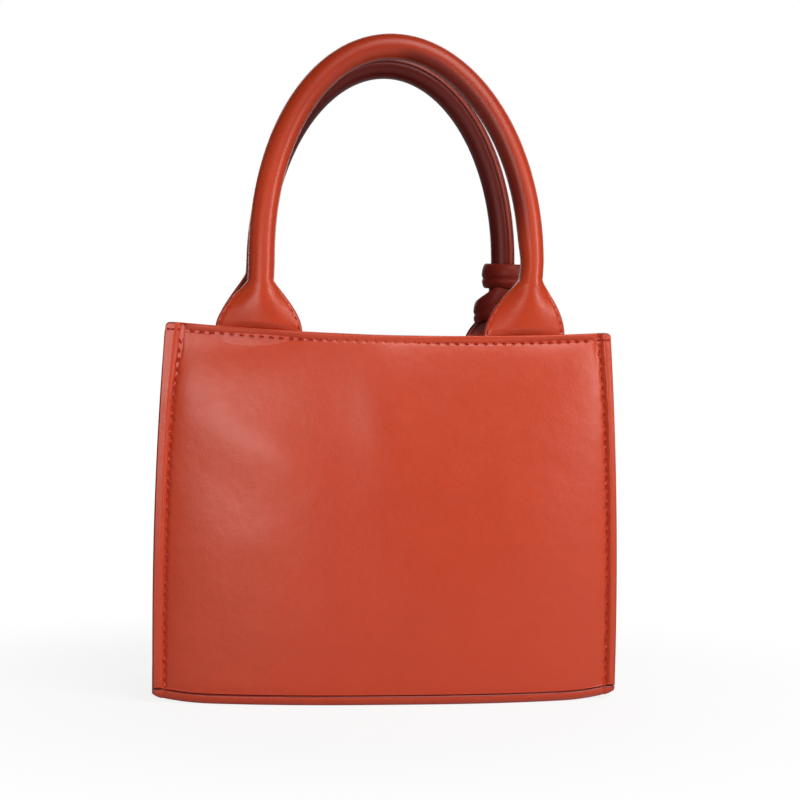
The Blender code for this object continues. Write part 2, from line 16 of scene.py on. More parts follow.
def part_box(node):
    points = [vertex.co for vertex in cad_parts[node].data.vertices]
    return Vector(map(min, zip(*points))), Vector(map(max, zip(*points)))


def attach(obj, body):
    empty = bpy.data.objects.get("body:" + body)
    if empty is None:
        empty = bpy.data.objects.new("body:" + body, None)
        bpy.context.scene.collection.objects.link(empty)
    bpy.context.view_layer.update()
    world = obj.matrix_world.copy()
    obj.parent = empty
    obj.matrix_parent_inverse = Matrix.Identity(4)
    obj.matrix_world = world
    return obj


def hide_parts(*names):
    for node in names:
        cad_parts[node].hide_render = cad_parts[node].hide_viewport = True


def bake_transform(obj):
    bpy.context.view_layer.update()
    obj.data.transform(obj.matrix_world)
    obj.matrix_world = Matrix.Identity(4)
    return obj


bl_info = {
    "name": "Small leather tote bag",
    "version": (1, 0, 0),
    "blender": (4, 5, 0),
    "location": "View3D > Sidebar > Tote",
    "description": "Makes the leathers, seams, lining and handles of a small tote bag",
    "category": "Object",
}

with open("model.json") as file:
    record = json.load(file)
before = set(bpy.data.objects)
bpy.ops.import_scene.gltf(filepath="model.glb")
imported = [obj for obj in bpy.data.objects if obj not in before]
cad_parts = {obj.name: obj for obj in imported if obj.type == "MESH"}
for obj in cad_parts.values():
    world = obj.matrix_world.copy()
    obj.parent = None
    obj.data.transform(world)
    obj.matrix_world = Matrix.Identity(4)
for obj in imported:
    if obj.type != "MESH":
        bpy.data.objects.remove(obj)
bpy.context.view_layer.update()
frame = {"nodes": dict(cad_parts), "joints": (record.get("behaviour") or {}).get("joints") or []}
FRONT = -1.0
REAR = 1.0
LEFT = -1.0
RIGHT = 1.0
SIDES = (("front", FRONT), ("rear", REAR))
ENDS = (("left", LEFT), ("right", RIGHT))
RIM_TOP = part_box("front_panel")[1].z
HINGES = {joint["child"]: Vector(joint["pos_m"]) for joint in frame["joints"]}

# Exponent of a panel's bow, and the share of the half width where the base starts to curl
BOW_SHAPE = 2.6
LIFT_START = 0.8

# The layers of the walls, as distances of their middles from the middle of the outer leather
ROOT_INSET = 0.00245
FACING_INSET = 0.00475
FACING_CLOSED_INSET = 0.00195
TAPE_INSET = 0.00105
LINING_INSET = 0.00155
LINING_TUCK_INSET = 0.00340
LIP_INSET = 0.00180

# Least gap between two layers, and the thickness of a gusset as in the CAD
SEAT_GAP = 0.0004
GUSSET_LEATHER = 0.0013

# Height of the linings' lower edge, and how far the rim tapes end below the rim
LINING_FOOT = 0.0068
TAPE_DROP = 0.0006

# Rim tapes: height and thickness. Boards in the tabs: thickness
TAPE_HEIGHT = 0.0134
TAPE_THICKNESS = 0.00045
TAB_BOARD = 0.0007

# Distances of stitches from the lower edge of a facing and from the edge of a gusset's lip
FACING_SEAM_MARGIN = 0.0030
LIP_SEAM_MARGIN = 0.0030

# Radius of the rim's corners at the side flanges, and of the bend behind a gusset's lip
RIM_CORNER = 0.0017
LIP_BEND = 0.0012

# Gussets: heights where the web's level grid lines start to sink, and how low they get
WEB_TURN = 0.040
WEB_LOW = 0.012

# The strap's course round the leg, in degrees: where its lower end lies, and its whole turn
STRAP_START = 120.0
STRAP_TURN = 650.0

# Turns after which it climbs, and after which it goes over itself, with their lengths
STRAP_CLIMB = (40.0, 235.0)
STRAP_OVER = (455.0, 110.0)

# How loosely its lower end lies, the length of its rounded tips, and its sections
STRAP_SLACK = 0.0016
STRAP_TIP = 0.004
STRAP_SECTIONS = 260

# Cord in the handles: radius between its strands, and how far they stand out
CORD_RADIUS = 0.0038
CORD_STRAND = 0.00030

# Radius of the outer leather's rounded edges
EDGE_RADIUS = 0.00075

# Side stitches: distance from the outer edge, its growth to the rim, and the left's surplus
STITCH_FROM_EDGE = 0.0049
STITCH_GROWTH = 0.0015
STITCH_SURPLUS = 0.0005

# Side seams: how far their line lies below the flange, its groove, and the flange's roll
SEAM_DEPTH = 0.00080
SEAM_GROOVE = 0.00040
ROLL_HEIGHT = 0.00055

# Tabs: half thickness in the middle at the rim and in the sewn-in end, and reach of the fold
TAB_FULLNESS = 0.0034
ROOT_HALF = 0.00125

# Stitches: sides of the thread's section, and the step along a surface for their direction
THREAD_SIDES = 6
SMALL_STEP = 0.0005

# How much of the floor's white comes without light, close to the bag, and half its side
FLOOR_GLOW = 0.86
FLOOR_REACH = 6.0

# Bulges and dents of the panels: x, z, half width, half height, turn and height
FRONT_BULGES = (
    (-0.004, 0.135, 0.015, 0.045, 0.10, 0.0016),
    (-0.072, 0.161, 0.024, 0.011, 0.05, -0.0012),
    (-0.058, 0.112, 0.034, 0.016, -0.55, 0.0012),
    (-0.070, 0.070, 0.030, 0.022, 0.00, 0.0006),
    (0.040, 0.140, 0.030, 0.040, 0.20, -0.0008),
    (0.014, 0.052, 0.022, 0.017, 0.00, 0.0007),
    (0.060, 0.080, 0.020, 0.026, 0.00, 0.0006),
)
REAR_BULGES = (
    (0.020, 0.125, 0.030, 0.035, 0.30, 0.0010),
    (-0.050, 0.090, 0.034, 0.028, -0.30, 0.0009),
    (0.062, 0.060, 0.026, 0.030, 0.00, -0.0007),
    (-0.066, 0.150, 0.026, 0.014, 0.10, -0.0008),
)

# Tones that go with the colours of the finishes
# Tone multiplied in as painted shade on the handles' inner sides, partly darkening from handling
WEAR_AND_SHADE_TONE = "#7A463E"
THREAD_SHADE = "#9E2217"
CORD_SHADE = "#B7A98C"
BOARD_SHADE = "#6F6A63"
WHITE = (1.0, 1.0, 1.0, 1.0)

# Camera, with the lens given in pixels of the picture's width
IMAGE_WIDTH = 800.0
CAMERA_AZIMUTH = math.radians(-8.4)
CAMERA_DISTANCE = 0.798
CAMERA_HEIGHT = 0.1369
CAMERA_ASIDE = 0.0087
CAMERA_ROLL = math.radians(1.02)
CAMERA_FOCUS_PIXELS = 1669.7


def length(name, text, default):
    """Property for a size in metres."""
    return bpy.props.FloatProperty(
        name=name, description=text, default=default, min=0.0, precision=5,
        subtype="DISTANCE", unit="LENGTH")


def colour(name, text, default):
    """Property for a colour written as sRGB hex."""
    return bpy.props.StringProperty(name=name, description=text, default=default)


class ToteBodySizes(bpy.types.PropertyGroup):
    """Sizes of the bag's body."""
    base_width: length("Base width", "Width over the side flanges at the floor", 0.2120)
    top_width: length("Top width", "Width over the side flanges at the rim", 0.2060)
    belly: length("Belly", "How far each side stands out at mid height", 0.0020)
    base_depth: length("Base depth", "Depth between the side flanges at the floor", 0.0780)
    top_depth: length("Top depth", "Depth between the side flanges at the rim", 0.0640)
    base_bow: length("Base bow", "How far the middle of a panel stands out at the floor", 0.0130)
    top_bow: length("Top bow", "How far the middle of a panel stands out at the rim", 0.0070)
    puff: length("Puff", "Extra fullness of a panel at mid height", 0.0030)
    corner_height: length("Corner height", "Height of the rim at the corners", RIM_TOP)
    middle_height: length("Middle height", "Height of the rim in the middle", 0.1664)
    rim_tilt: length("Rim tilt", "How much the front rim falls to the right", 0.0002)
    corner_lift: length("Corner lift", "How far the ends of the base curl up", 0.0015)
    gusset_fold: length("Gusset fold", "How far the sides fold in at the mouth", 0.0090)
    flange: length("Flange", "Width of the raised side seams", 0.0053)
    strip: length("Base strip", "Height of the strip under the crease line", 0.0046)
    leather: length("Panel leather", "Thickness of the outer leather", 0.0015)
    thin_leather: length("Thin leather", "Thickness of gussets and facings", 0.0012)
    cloth: length("Lining", "Thickness of the lining", 0.0008)
    facing: length("Facing", "Height of the leather band inside the rim", 0.0250)


class ToteHandleSizes(bpy.types.PropertyGroup):
    """Sizes of the rolled handles."""
    spacing: length("Tab spacing", "Distance between the middles of the two tabs", 0.1226)
    rise: length("Rise", "Height of the centre line over the tab's end", 0.1336)
    arch: length("Arch", "Height of the half ellipse on top", 0.0976)
    tube: length("Roll", "Thickness of the rolled part", 0.0120)
    tab_width: length("Tab width", "Width of a tab at the rim", 0.0390)
    tab_flare: length("Flare", "Height over which the roll widens into the tab", 0.0250)
    tab_edge: length("Tab edge", "Thickness of the tab at its sewn edge", 0.0024)
    tab_root: length("Tab root", "Length sewn in below the rim", 0.0200)
    gathered_width: length("Gathered tab", "Width of the tab under the strap", 0.0300)
    gathered_flare: length("Gathered flare", "Height of the gathered tab's flare", 0.0150)
    strap_width: length("Strap width", "Width of the wound strap", 0.0124)
    strap_thickness: length("Strap thickness", "Thickness of the wound strap", 0.0040)
    strap_low: length("Strap low end", "Height of the strap's low end over the tab's end", 0.0138)
    strap_high: length("Strap top turn", "Height of its top turn over the tab's end", 0.0324)
    hinge_height: length("Fold height", "Height of the fold over the tab's end", 0.0027)
    lean: bpy.props.FloatProperty(
        name="Lean", description="How far the handles lean inwards", default=math.radians(5.0),
        subtype="ANGLE", unit="ROTATION")


class ToteStitchSizes(bpy.types.PropertyGroup):
    """Sizes of the seams."""
    top_pitch: length("Top pitch", "Distance between the stitches of the rim", 0.00445)
    side_pitch: length("Side pitch", "Distance between the stitches of the side seams", 0.00420)
    tab_pitch: length("Tab pitch", "Distance between the stitches of the tabs", 0.00400)
    top_margin: length("Top margin", "Height of the hem over its stitches", 0.0034)
    tab_margin: length("Tab margin", "Distance of the tab's stitches from its edge", 0.0017)
    thread: length("Thread", "Thickness of the thread", 0.00072)


class ToteColours(bpy.types.PropertyGroup):
    """Colours of the finishes, as sRGB hex."""
    leather: colour("Leather", "Dyed calf of body and handles", "#C44224")
    leather_deep: colour("Deep tone", "Where the dye has gone in deeper", "#B53A20")
    handle: colour("Handles", "Calf of the handles, polished by hands", "#BF3F21")
    handle_deep: colour("Handles' deep tone", "Deeper tone of the handles", "#AB351C")
    edge: colour("Edge paint", "Painted cut edges", "#7A2219")
    # The strap is the handles' leather; its darker colours are painted shade
    strap: colour("Strap", "Matt calf of the wound strap", "#7A2014")
    strap_shaded_deep: colour("Strap's deep tone", "Deeper tone of the strap", "#60170E")
    thread: colour("Thread", "Polyester sewing thread", "#B22A1C")
    lining: colour("Lining", "Cotton twill lining", "#7E2A22")
    tape: colour("Tape", "Woven tape inside the rim", "#B0A590")
    cord: colour("Cord", "Cotton cord inside the handles", "#D9CDB4")
    board: colour("Board", "Grey fibre board", "#958F86")


def body_sizes():
    return bpy.context.scene.tote_body


def handle_sizes():
    return bpy.context.scene.tote_handles


def stitch_sizes():
    return bpy.context.scene.tote_stitches


def smoothstep(value):
    """Ease from 0 to 1."""
    value = np.clip(value, 0.0, 1.0)
    return value * value * (3.0 - 2.0 * value)


def hump(value, width):
    """Bell curve of height 1 round 0."""
    return np.exp(-(value / width) ** 2)


def evenly(low, high, count):
    return np.linspace(low, high, count)


def lines(*stretches):
    """Sorted grid lines from several stretches, without near doubles."""
    merged = np.sort(np.concatenate([np.atleast_1d(stretch) for stretch in stretches]))
    keep = np.concatenate([[True], np.diff(merged) > 1e-6])
    return merged[keep]


def edge_steps(edge, inward, radius):
    """Grid lines close together at a sheet's edge, to show its rounded profile."""
    return edge + inward * radius * np.array([0.0, 0.06, 0.22, 0.5, 0.85, 1.2])


def grid_lines(low, high, count, radius):
    """Even grid lines with close ones at both edges of a sheet."""
    return lines(
        evenly(low, high, count), edge_steps(low, 1.0, radius), edge_steps(high, -1.0, radius))


def unit(vectors):
    """Vectors of length 1 with the same directions."""
    return vectors / np.maximum(np.linalg.norm(vectors, axis=-1, keepdims=True), 1e-12)


def points_of(x, y, z):
    """Points from coordinates that are arrays or single numbers."""
    return np.stack(np.broadcast_arrays(x, y, z), axis=-1)


def rounded(distance, radius):
    """Quarter circle that rises from 0 at an edge to the full radius."""
    return radius * np.sqrt(1.0 - np.clip(1.0 - distance / radius, 0.0, 1.0) ** 2)


# Form of the walls


def height_share(z):
    return z / body_sizes().corner_height


def seam_half_width(z):
    """Half the width between the side seams: a straight taper plus a parabola, the belly."""
    s = body_sizes()
    t = height_share(z)
    straight = s.base_width + (s.top_width - s.base_width) * t
    return straight / 2.0 + s.belly * 4.0 * t * (1.0 - t) - s.flange


def rim_half_width():
    """Half the width between the side seams at the rim's corners."""
    return seam_half_width(body_sizes().corner_height)


def corner_half_depth(z):
    """Half the depth between the flanges: a straight taper."""
    s = body_sizes()
    return (s.base_depth + (s.top_depth - s.base_depth) * height_share(z)) / 2.0


def bow(z):
    """How far the middle of a panel stands out: a taper plus a parabola."""
    s = body_sizes()
    t = height_share(z)
    return s.base_bow + (s.top_bow - s.base_bow) * t + s.puff * 4.0 * t * (1.0 - t)


def rim_height(side, across):
    """Top edge: a parabola over the share of the half width, tilted a little at the front."""
    s = body_sizes()
    share = np.clip(across, -1.0, 1.0)
    tilt = s.rim_tilt * share if side == FRONT else 0.0 * share
    return s.middle_height + (s.corner_height - s.middle_height) * share ** 2 - tilt


def corner_lift(across):
    """The ends of the base curl up as a parabola."""
    past = np.clip((np.abs(across) - LIFT_START) / (1.0 - LIFT_START), 0.0, 1.0)
    return body_sizes().corner_lift * past ** 2


def corner_round(e):
    """How far a quarter circle takes the rim's corner down, e from the side's outer edge."""
    return RIM_CORNER - rounded(e, RIM_CORNER)


def wall_points(side, across, z, inset, margin=0.0):
    """Points of a layer of the front or rear wall.

    across is the share of the half width up to 1, and 1 to 2 over the flange. The wall bows
    out as 1 - |share|^BOW_SHAPE and is flat in the flanges; inset moves it into the bag.
    """
    share = np.clip(across, -1.0, 1.0)
    flange = across - share
    x = share * (seam_half_width(z) - margin) + flange * body_sizes().flange
    y = corner_half_depth(z) + bow(z) * (1.0 - np.abs(share) ** BOW_SHAPE) - inset
    return points_of(x, side * y, z)


# Meshes


def surface_normals(points):
    """Unit normals of a grid of points: the cross product of its two directions."""
    return unit(np.cross(np.gradient(points, axis=1), np.gradient(points, axis=0)))


def travelled(points, axis):
    """Length along the grid lines up to each point, and from it to the end."""
    steps = np.linalg.norm(np.diff(points, axis=axis), axis=2)
    pad = [(0, 0), (0, 0)]
    pad[axis] = (1, 0)
    done = np.pad(np.cumsum(steps, axis=axis), pad)
    total = np.take(done, [-1], axis=axis)
    return done, total - done


def border_distance(points):
    """Least distance along the sheet from each point to the sheet's edges."""
    return np.minimum(
        np.minimum(*travelled(points, 0)), np.minimum(*travelled(points, 1)))


def quads(index):
    """Faces between neighbouring entries of a grid of vertex numbers."""
    corners = (index[:-1, :-1], index[1:, :-1], index[1:, 1:], index[:-1, 1:])
    return np.stack(corners, axis=-1).reshape(-1, 4)


def add_object(name, data):
    """Put an object with this data into the scene."""
    added = bpy.data.objects.new(name, data)
    bpy.context.scene.collection.objects.link(added)
    return added


def add_piece(name, points, faces, kind, attributes=None, merge=False):
    """Closed smooth piece with its faces outwards and float attributes on its points."""
    mesh = bpy.data.meshes.new(name)
    mesh.from_pydata(points.reshape(-1, 3).tolist(), [], faces)
    for key, values in (attributes or {}).items():
        layer = mesh.attributes.new(key, "FLOAT", "POINT")
        layer.data.foreach_set("value", np.asarray(values, np.float32).ravel())
    mesh.shade_smooth()
    mesh.materials.append(material_for(kind))
    face_outwards(mesh, merge)
    return add_object(name, mesh)


def face_outwards(mesh, merge):
    """Turn the faces of a closed mesh outwards, with its doubles merged first where asked."""
    body = bmesh.new()
    body.from_mesh(mesh)
    if merge:
        bmesh.ops.remove_doubles(body, verts=body.verts, dist=2e-6)
        bmesh.ops.dissolve_degenerate(body, edges=body.edges, dist=1e-7)
    bmesh.ops.recalc_face_normals(body, faces=body.faces)
    body.to_mesh(mesh)
    body.free()


def thinned(count, step):
    """Every step-th grid line, with the first and last few kept."""
    keep = set(range(0, count, step)) | {0, 1, 2, 3, count - 4, count - 3, count - 2, count - 1}
    return sorted(keep)


def border_strip(spans, near, edge):
    """Faces that join each stretch of a full edge to the thinned line next to it."""
    return [
        [a, b] + list(edge[start:end + 1][::-1])
        for start, end, a, b in zip(spans[:-1], spans[1:], near[:-1], near[1:])]


def leather_sheet(
        name, middle, outward, thickness, kind, relief=0.0, step=3, raw=1.0, hole_shade=0.0,
        straight=False):
    """A thick sheet with rounded edges, from the grid of its middle surface.

    Both faces lie half the thickness off the middle along its normals, or along outward where
    straight is set. That distance falls off as a quarter circle towards the edges, where the
    two faces meet. relief lifts the outer face, raw is 0 along folded edges, and the hole shade
    is painted shade in each needle hole, carried with the painted edges. The hidden face has
    only every step-th line.
    """
    outward = np.asarray(outward, float)
    normal = surface_normals(middle)
    if np.sum(normal * outward) < 0.0:
        normal = -normal
    if straight:
        normal = np.broadcast_to(outward, middle.shape)
    distance = border_distance(middle)
    half = rounded(distance, thickness / 2.0)
    lift = half + relief * smoothstep(distance / (thickness / 2.0))
    outer = middle + normal * lift[..., None]
    inner = middle - normal * half[..., None]
    height, width = middle.shape[:2]
    outer_index = np.arange(height * width).reshape(height, width)
    rows = thinned(height, step)[1:-1]
    columns = thinned(width, step)[1:-1]
    kept = np.ix_(rows, columns)
    inner_index = outer_index.size + np.arange(len(rows) * len(columns)).reshape(len(rows), -1)
    row_spans = [0] + rows[1:-1] + [height - 1]
    column_spans = [0] + columns[1:-1] + [width - 1]
    faces = quads(outer_index).tolist() + quads(inner_index).tolist()
    for at in (0, -1):
        faces += border_strip(column_spans, inner_index[at], outer_index[at])
        faces += border_strip(row_spans, inner_index[:, at], outer_index[:, at])
    points = np.concatenate([outer.reshape(-1, 3), inner[kept].reshape(-1, 3)])
    # Painted cut edges, with painted shade added in each needle hole
    cut = raw * hump(distance, 0.45 * thickness)
    paint_and_hole_shade = np.concatenate([(cut + hole_shade).ravel(), cut[kept].ravel()])
    return add_piece(name, points, faces, kind, {"edge_paint_and_hole_shade": paint_and_hole_shade})


def tube_faces(count, around):
    """Faces of a tube through count rings, with a cap at each end."""
    index = np.arange(count * around).reshape(count, around)
    wrapped = np.concatenate([index, index[:, :1]], axis=1)
    return quads(wrapped).tolist() + [index[0].tolist(), index[-1].tolist()]


def tube(name, rings, kind, attributes=None):
    """Closed body through rings of points, capped at both ends."""
    return add_piece(name, rings, tube_faces(*rings.shape[:2]), kind, attributes)


def stitches(name, centres, along, outward, stitch, sink):
    """A row of stitches: small six-sided threads, arched so that both ends dip in.

    Each runs along its direction and bends as 1 - (2t)^2, with its ends under the leather.
    """
    thread = stitch_sizes().thread
    along = unit(np.broadcast_to(along, centres.shape))
    outward = unit(outward - along * np.sum(outward * along, axis=1, keepdims=True))
    t = np.array([-0.5, -0.46, -0.3, 0.0, 0.3, 0.46, 0.5])[:, None]
    size = np.array([0.15, 0.62, 0.95, 1.0, 0.95, 0.62, 0.15])[:, None] * thread / 2.0
    angle = np.arange(THREAD_SIDES) * 2.0 * math.pi / THREAD_SIDES
    arch = thread * ((1.0 - (2.0 * t) ** 2) * 0.75 - sink)
    offsets = points_of(
        t * stitch, arch + size * np.sin(angle), size * np.cos(angle) * 1.15).reshape(-1, 3)
    points = centres[:, None] + offsets @ np.stack([along, outward, np.cross(outward, along)], 1)
    template = tube_faces(len(t), THREAD_SIDES)
    starts = range(0, len(centres) * len(offsets), len(offsets))
    faces = [[start + v for v in face] for start in starts for face in template]
    return add_piece(name, points, faces, "thread")


# Finishes


def linear(hex_colour):
    """sRGB hex to a linear colour with full alpha."""
    values = [int(hex_colour[i:i + 2], 16) / 255.0 for i in (1, 3, 5)]
    split = [v / 12.92 if v <= 0.04045 else ((v + 0.055) / 1.055) ** 2.4 for v in values]
    return (*split, 1.0)


def feed(tree, node, inputs):
    """Set a node's inputs to numbers and colours, or link them to sockets."""
    for key, value in inputs.items():
        if isinstance(value, bpy.types.NodeSocket):
            tree.links.new(value, node.inputs[key])
        else:
            node.inputs[key].default_value = value


def add_node(tree, kind, inputs=None, **settings):
    """Add a node with its settings and inputs."""
    node = tree.nodes.new(kind)
    for key, value in settings.items():
        setattr(node, key, value)
    feed(tree, node, inputs or {})
    return node


def new_material(name):
    """Empty material with its shader and output, and its tree."""
    material = bpy.data.materials.new(name)
    material.use_nodes = True
    tree = material.node_tree
    return material, tree, tree.nodes["Principled BSDF"]


def ramp(tree, source, low, high):
    """Map the middle of a 0 to 1 pattern to the range low to high."""
    return add_node(tree, "ShaderNodeMapRange", {
        "Value": source, "From Min": 0.3, "From Max": 0.7,
        "To Min": low, "To Max": high}).outputs["Result"]


def piece_place(tree):
    """Coordinates of the piece itself, in metres."""
    return add_node(tree, "ShaderNodeTexCoord").outputs["Object"]


def noise(tree, place, scale, detail, roughness=0.5):
    """Soft irregular pattern with scale waves to the metre."""
    return add_node(tree, "ShaderNodeTexNoise", {
        "Vector": place, "Scale": scale, "Detail": detail, "Roughness": roughness}).outputs["Fac"]


def attribute(tree, name):
    """A piece's own value at each point."""
    return add_node(tree, "ShaderNodeAttribute", attribute_name=name).outputs["Fac"]


def mix_values(tree, amount, first, second):
    """Blend two numbers."""
    return add_node(
        tree, "ShaderNodeMix", {0: amount, 2: first, 3: second}, data_type="FLOAT").outputs[0]


def mix_colours(tree, amount, first, second, blend="MIX"):
    """Blend two colours."""
    return add_node(
        tree, "ShaderNodeMix", {0: amount, 6: first, 7: second}, data_type="RGBA",
        blend_type=blend).outputs[2]


def bump(tree, height, strength, distance, **below):
    """Fine relief from a pattern, over another one where below gives its Normal."""
    return add_node(tree, "ShaderNodeBump", {
        "Height": height, "Strength": strength, "Distance": distance, **below}).outputs["Normal"]


def two_tone(tree, shader, pattern, low, high, strength, depth, roughness):
    """Let the tone and the fine relief follow one pattern."""
    feed(tree, shader, {
        "Base Color": mix_colours(tree, pattern, low, high),
        "Normal": bump(tree, pattern, strength, depth), "Roughness": roughness})


def calf_leather(
        name, base, deep, edge, roughness=(0.30, 0.38), waves=0.0005, gloss=1.45, coat=0.04):
    """Smooth full-grain calf, drum dyed and finished with a satin wax.

    The eye sees a fine 0.4 mm grain, tones that shift over a few centimetres, a soft broad
    sheen, painted cut edges, and an attribute that darkens the leather as painted shade on the
    handles' inner sides, partly also as darkening from handling. The attribute of the painted
    edges also carries painted shade in each needle hole.
    """
    material, tree, shader = new_material(name)
    place = piece_place(tree)
    # 45 per metre gives patches of about 22 mm, 160 per metre marks of about 6 mm
    broad = noise(tree, place, 45.0, 3.0, 0.55)
    fine = noise(tree, place, 160.0, 4.0, 0.6)
    depth = ramp(tree, mix_values(tree, 0.35, broad, fine), 0.10, 0.50)
    tone = mix_colours(tree, depth, linear(base), linear(deep))
    # Painted shade from an attribute on the handles' inner sides, partly darkening from handling
    wear_shade_mask = attribute(tree, "wear_and_painted_shade")
    wear_shaded_tone = mix_colours(tree, wear_shade_mask, tone, linear(WEAR_AND_SHADE_TONE), "MULTIPLY")
    # Painted cut edges, with painted shade in each needle hole from the same attribute
    edge_paint_and_shade = add_node(tree, "ShaderNodeMapRange", {
        "Value": attribute(tree, "edge_paint_and_hole_shade"), "From Min": 0.25, "From Max": 0.8})
    rough = add_node(tree, "ShaderNodeMath", {
        0: wear_shade_mask, 1: 0.10, 2: ramp(tree, fine, *roughness)}, operation="MULTIPLY_ADD")
    # 2400 per metre is a grain of 0.4 mm, 900 per metre the wrinkles between its clusters
    grain = add_node(tree, "ShaderNodeTexVoronoi", {
        "Vector": place, "Scale": 2400.0, "Smoothness": 0.6}, feature="SMOOTH_F1")
    pores = noise(tree, place, 900.0, 3.0, 0.6)
    relief = mix_values(tree, 0.4, grain.outputs["Distance"], pores)
    # Faint waves that handling leaves lie over the grain
    normal = bump(tree, broad, 1.0, waves, Normal=bump(tree, relief, 0.9, 0.00008))
    feed(tree, shader, {
        "Base Color": mix_colours(tree, edge_paint_and_shade.outputs["Result"], wear_shaded_tone, linear(edge)),
        "Roughness": rough.outputs[0], "Normal": normal, "IOR": gloss,
        "Specular Tint": (1.0, 0.74, 0.70, 1.0), "Coat Weight": coat, "Coat Roughness": 0.22})
    return material


def sewing_thread(hex_colour):
    """Bonded polyester thread, three plies twisted: satin, with slanting twist lines."""
    material, tree, shader = new_material("bonded_polyester_thread")
    # 450 per metre gives twist lines 0.7 mm apart
    twist = add_node(tree, "ShaderNodeTexWave", {
        "Vector": piece_place(tree), "Scale": 450.0, "Distortion": 0.5},
        bands_direction="DIAGONAL").outputs["Fac"]
    two_tone(tree, shader, twist, linear(THREAD_SHADE), linear(hex_colour), 0.25, 0.0001, 0.6)
    feed(tree, shader, {"Specular IOR Level": 0.2})
    return material


def woven_cloth(name, hex_colour, pitch):
    """Cotton cloth woven on the slant from two threads at right angles, pitch metres apart.

    The weave is drawn about twice as coarse as it is, so that it shows in a render.
    """
    material, tree, shader = new_material(name)
    turned = add_node(tree, "ShaderNodeMapping", {
        "Vector": piece_place(tree), "Rotation": (0.6, 0.35, math.radians(45.0))}).outputs[0]
    warp, weft = (
        add_node(tree, "ShaderNodeTexWave", {
            "Vector": turned, "Scale": 1.0 / pitch / 3.14, "Distortion": 0.4, "Detail": 1.0},
            bands_direction=way).outputs["Fac"]
        for way in "XZ")
    weave = add_node(tree, "ShaderNodeMath", {0: warp, 1: weft}, operation="MULTIPLY").outputs[0]
    base = linear(hex_colour)
    shadow = tuple(part * 0.72 for part in base[:3]) + (1.0,)
    two_tone(tree, shader, weave, shadow, base, 0.4, 0.0002, 0.88)
    feed(tree, shader, {"Sheen Weight": 0.15})
    return material


def cotton_cord(hex_colour):
    """Unbleached cotton, twisted from loose yarn: matt, with fine fibres along it."""
    material, tree, shader = new_material("twisted_cotton_cord")
    fibres = noise(tree, piece_place(tree), 1800.0, 4.0)
    two_tone(tree, shader, fibres, linear(CORD_SHADE), linear(hex_colour), 0.5, 0.0003, 0.92)
    return material


def fibre_board(hex_colour):
    """Grey board pressed from paper fibre: matt, flecked, slightly uneven."""
    material, tree, shader = new_material("pressed_fibre_board")
    flecks = noise(tree, piece_place(tree), 900.0, 6.0, 0.7)
    two_tone(tree, shader, flecks, linear(BOARD_SHADE), linear(hex_colour), 0.3, 0.0002, 0.9)
    return material


MATERIALS = {}


def material_for(kind):
    """The material of a kind, made when it is first asked for."""
    c = bpy.context.scene.tote_colours
    makers = {
        "leather": lambda: calf_leather(
            "satin_dyed_calf", c.leather, c.leather_deep, c.edge, gloss=1.52, coat=0.12),
        "handle": lambda: calf_leather(
            "hand_polished_calf", c.handle, c.handle_deep, c.edge, (0.26, 0.32), 0.00012),
        # The strap's dark colours are painted shade on the handles' leather
        "strap": lambda: calf_leather(
            "matt_strap_calf_painted_shade", c.strap, c.strap_shaded_deep, c.edge, (0.48, 0.58), 0.0003, 1.30),
        "facing": lambda: calf_leather(
            "satin_dyed_calf_inside", c.leather_deep, c.leather_deep, c.edge, (0.45, 0.55)),
        "thread": lambda: sewing_thread(c.thread),
        "lining": lambda: woven_cloth("cotton_twill_lining", c.lining, 0.0009),
        "tape": lambda: woven_cloth("woven_cotton_tape", c.tape, 0.0012),
        "cord": lambda: cotton_cord(c.cord),
        "board": lambda: fibre_board(c.board),
    }
    if kind not in MATERIALS:
        MATERIALS[kind] = makers[kind]()
    return MATERIALS[kind]


def finish_piece(piece, replaced=(), body="bag_body"):
    """Ride a piece on a body and hide the nodes that it stands for."""
    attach(piece, body)
    if replaced:
        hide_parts(*replaced)


# Outer leathers


def seam_edge_distance(z, end):
    """Distance of the side stitches from the outer edge: wide at the rim, more so on the left."""
    surplus = STITCH_SURPLUS * end
    near_rim = smoothstep((height_share(z) - 0.70) / 0.30) ** 1.5
    return STITCH_FROM_EDGE - surplus + (STITCH_GROWTH - surplus) * near_rim


def to_hole(way, pitch):
    """Distance along a seam to its nearest needle hole."""
    return way - np.round(way / pitch) * pitch


def side_wander(z, seed):
    """The side seams run a little unevenly: a sum of two sines."""
    return 0.00018 * np.sin(z * 3900.0 + seed) + 0.00022 * np.sin(z * 610.0 + 2.0 * seed)


def bulges(side, x, z):
    """Lasting bulges and dents of worn leather: a sum of round and long bell shapes."""
    shape = 0.0 * x
    for at_x, at_z, wide, tall, turn, height in FRONT_BULGES if side == FRONT else REAR_BULGES:
        dx = (x - at_x) * math.cos(turn) + (z - at_z) * math.sin(turn)
        dz = (z - at_z) * math.cos(turn) - (x - at_x) * math.sin(turn)
        shape = shape + height * np.exp(-(dx / wide) ** 2 - (dz / tall) ** 2)
    return shape


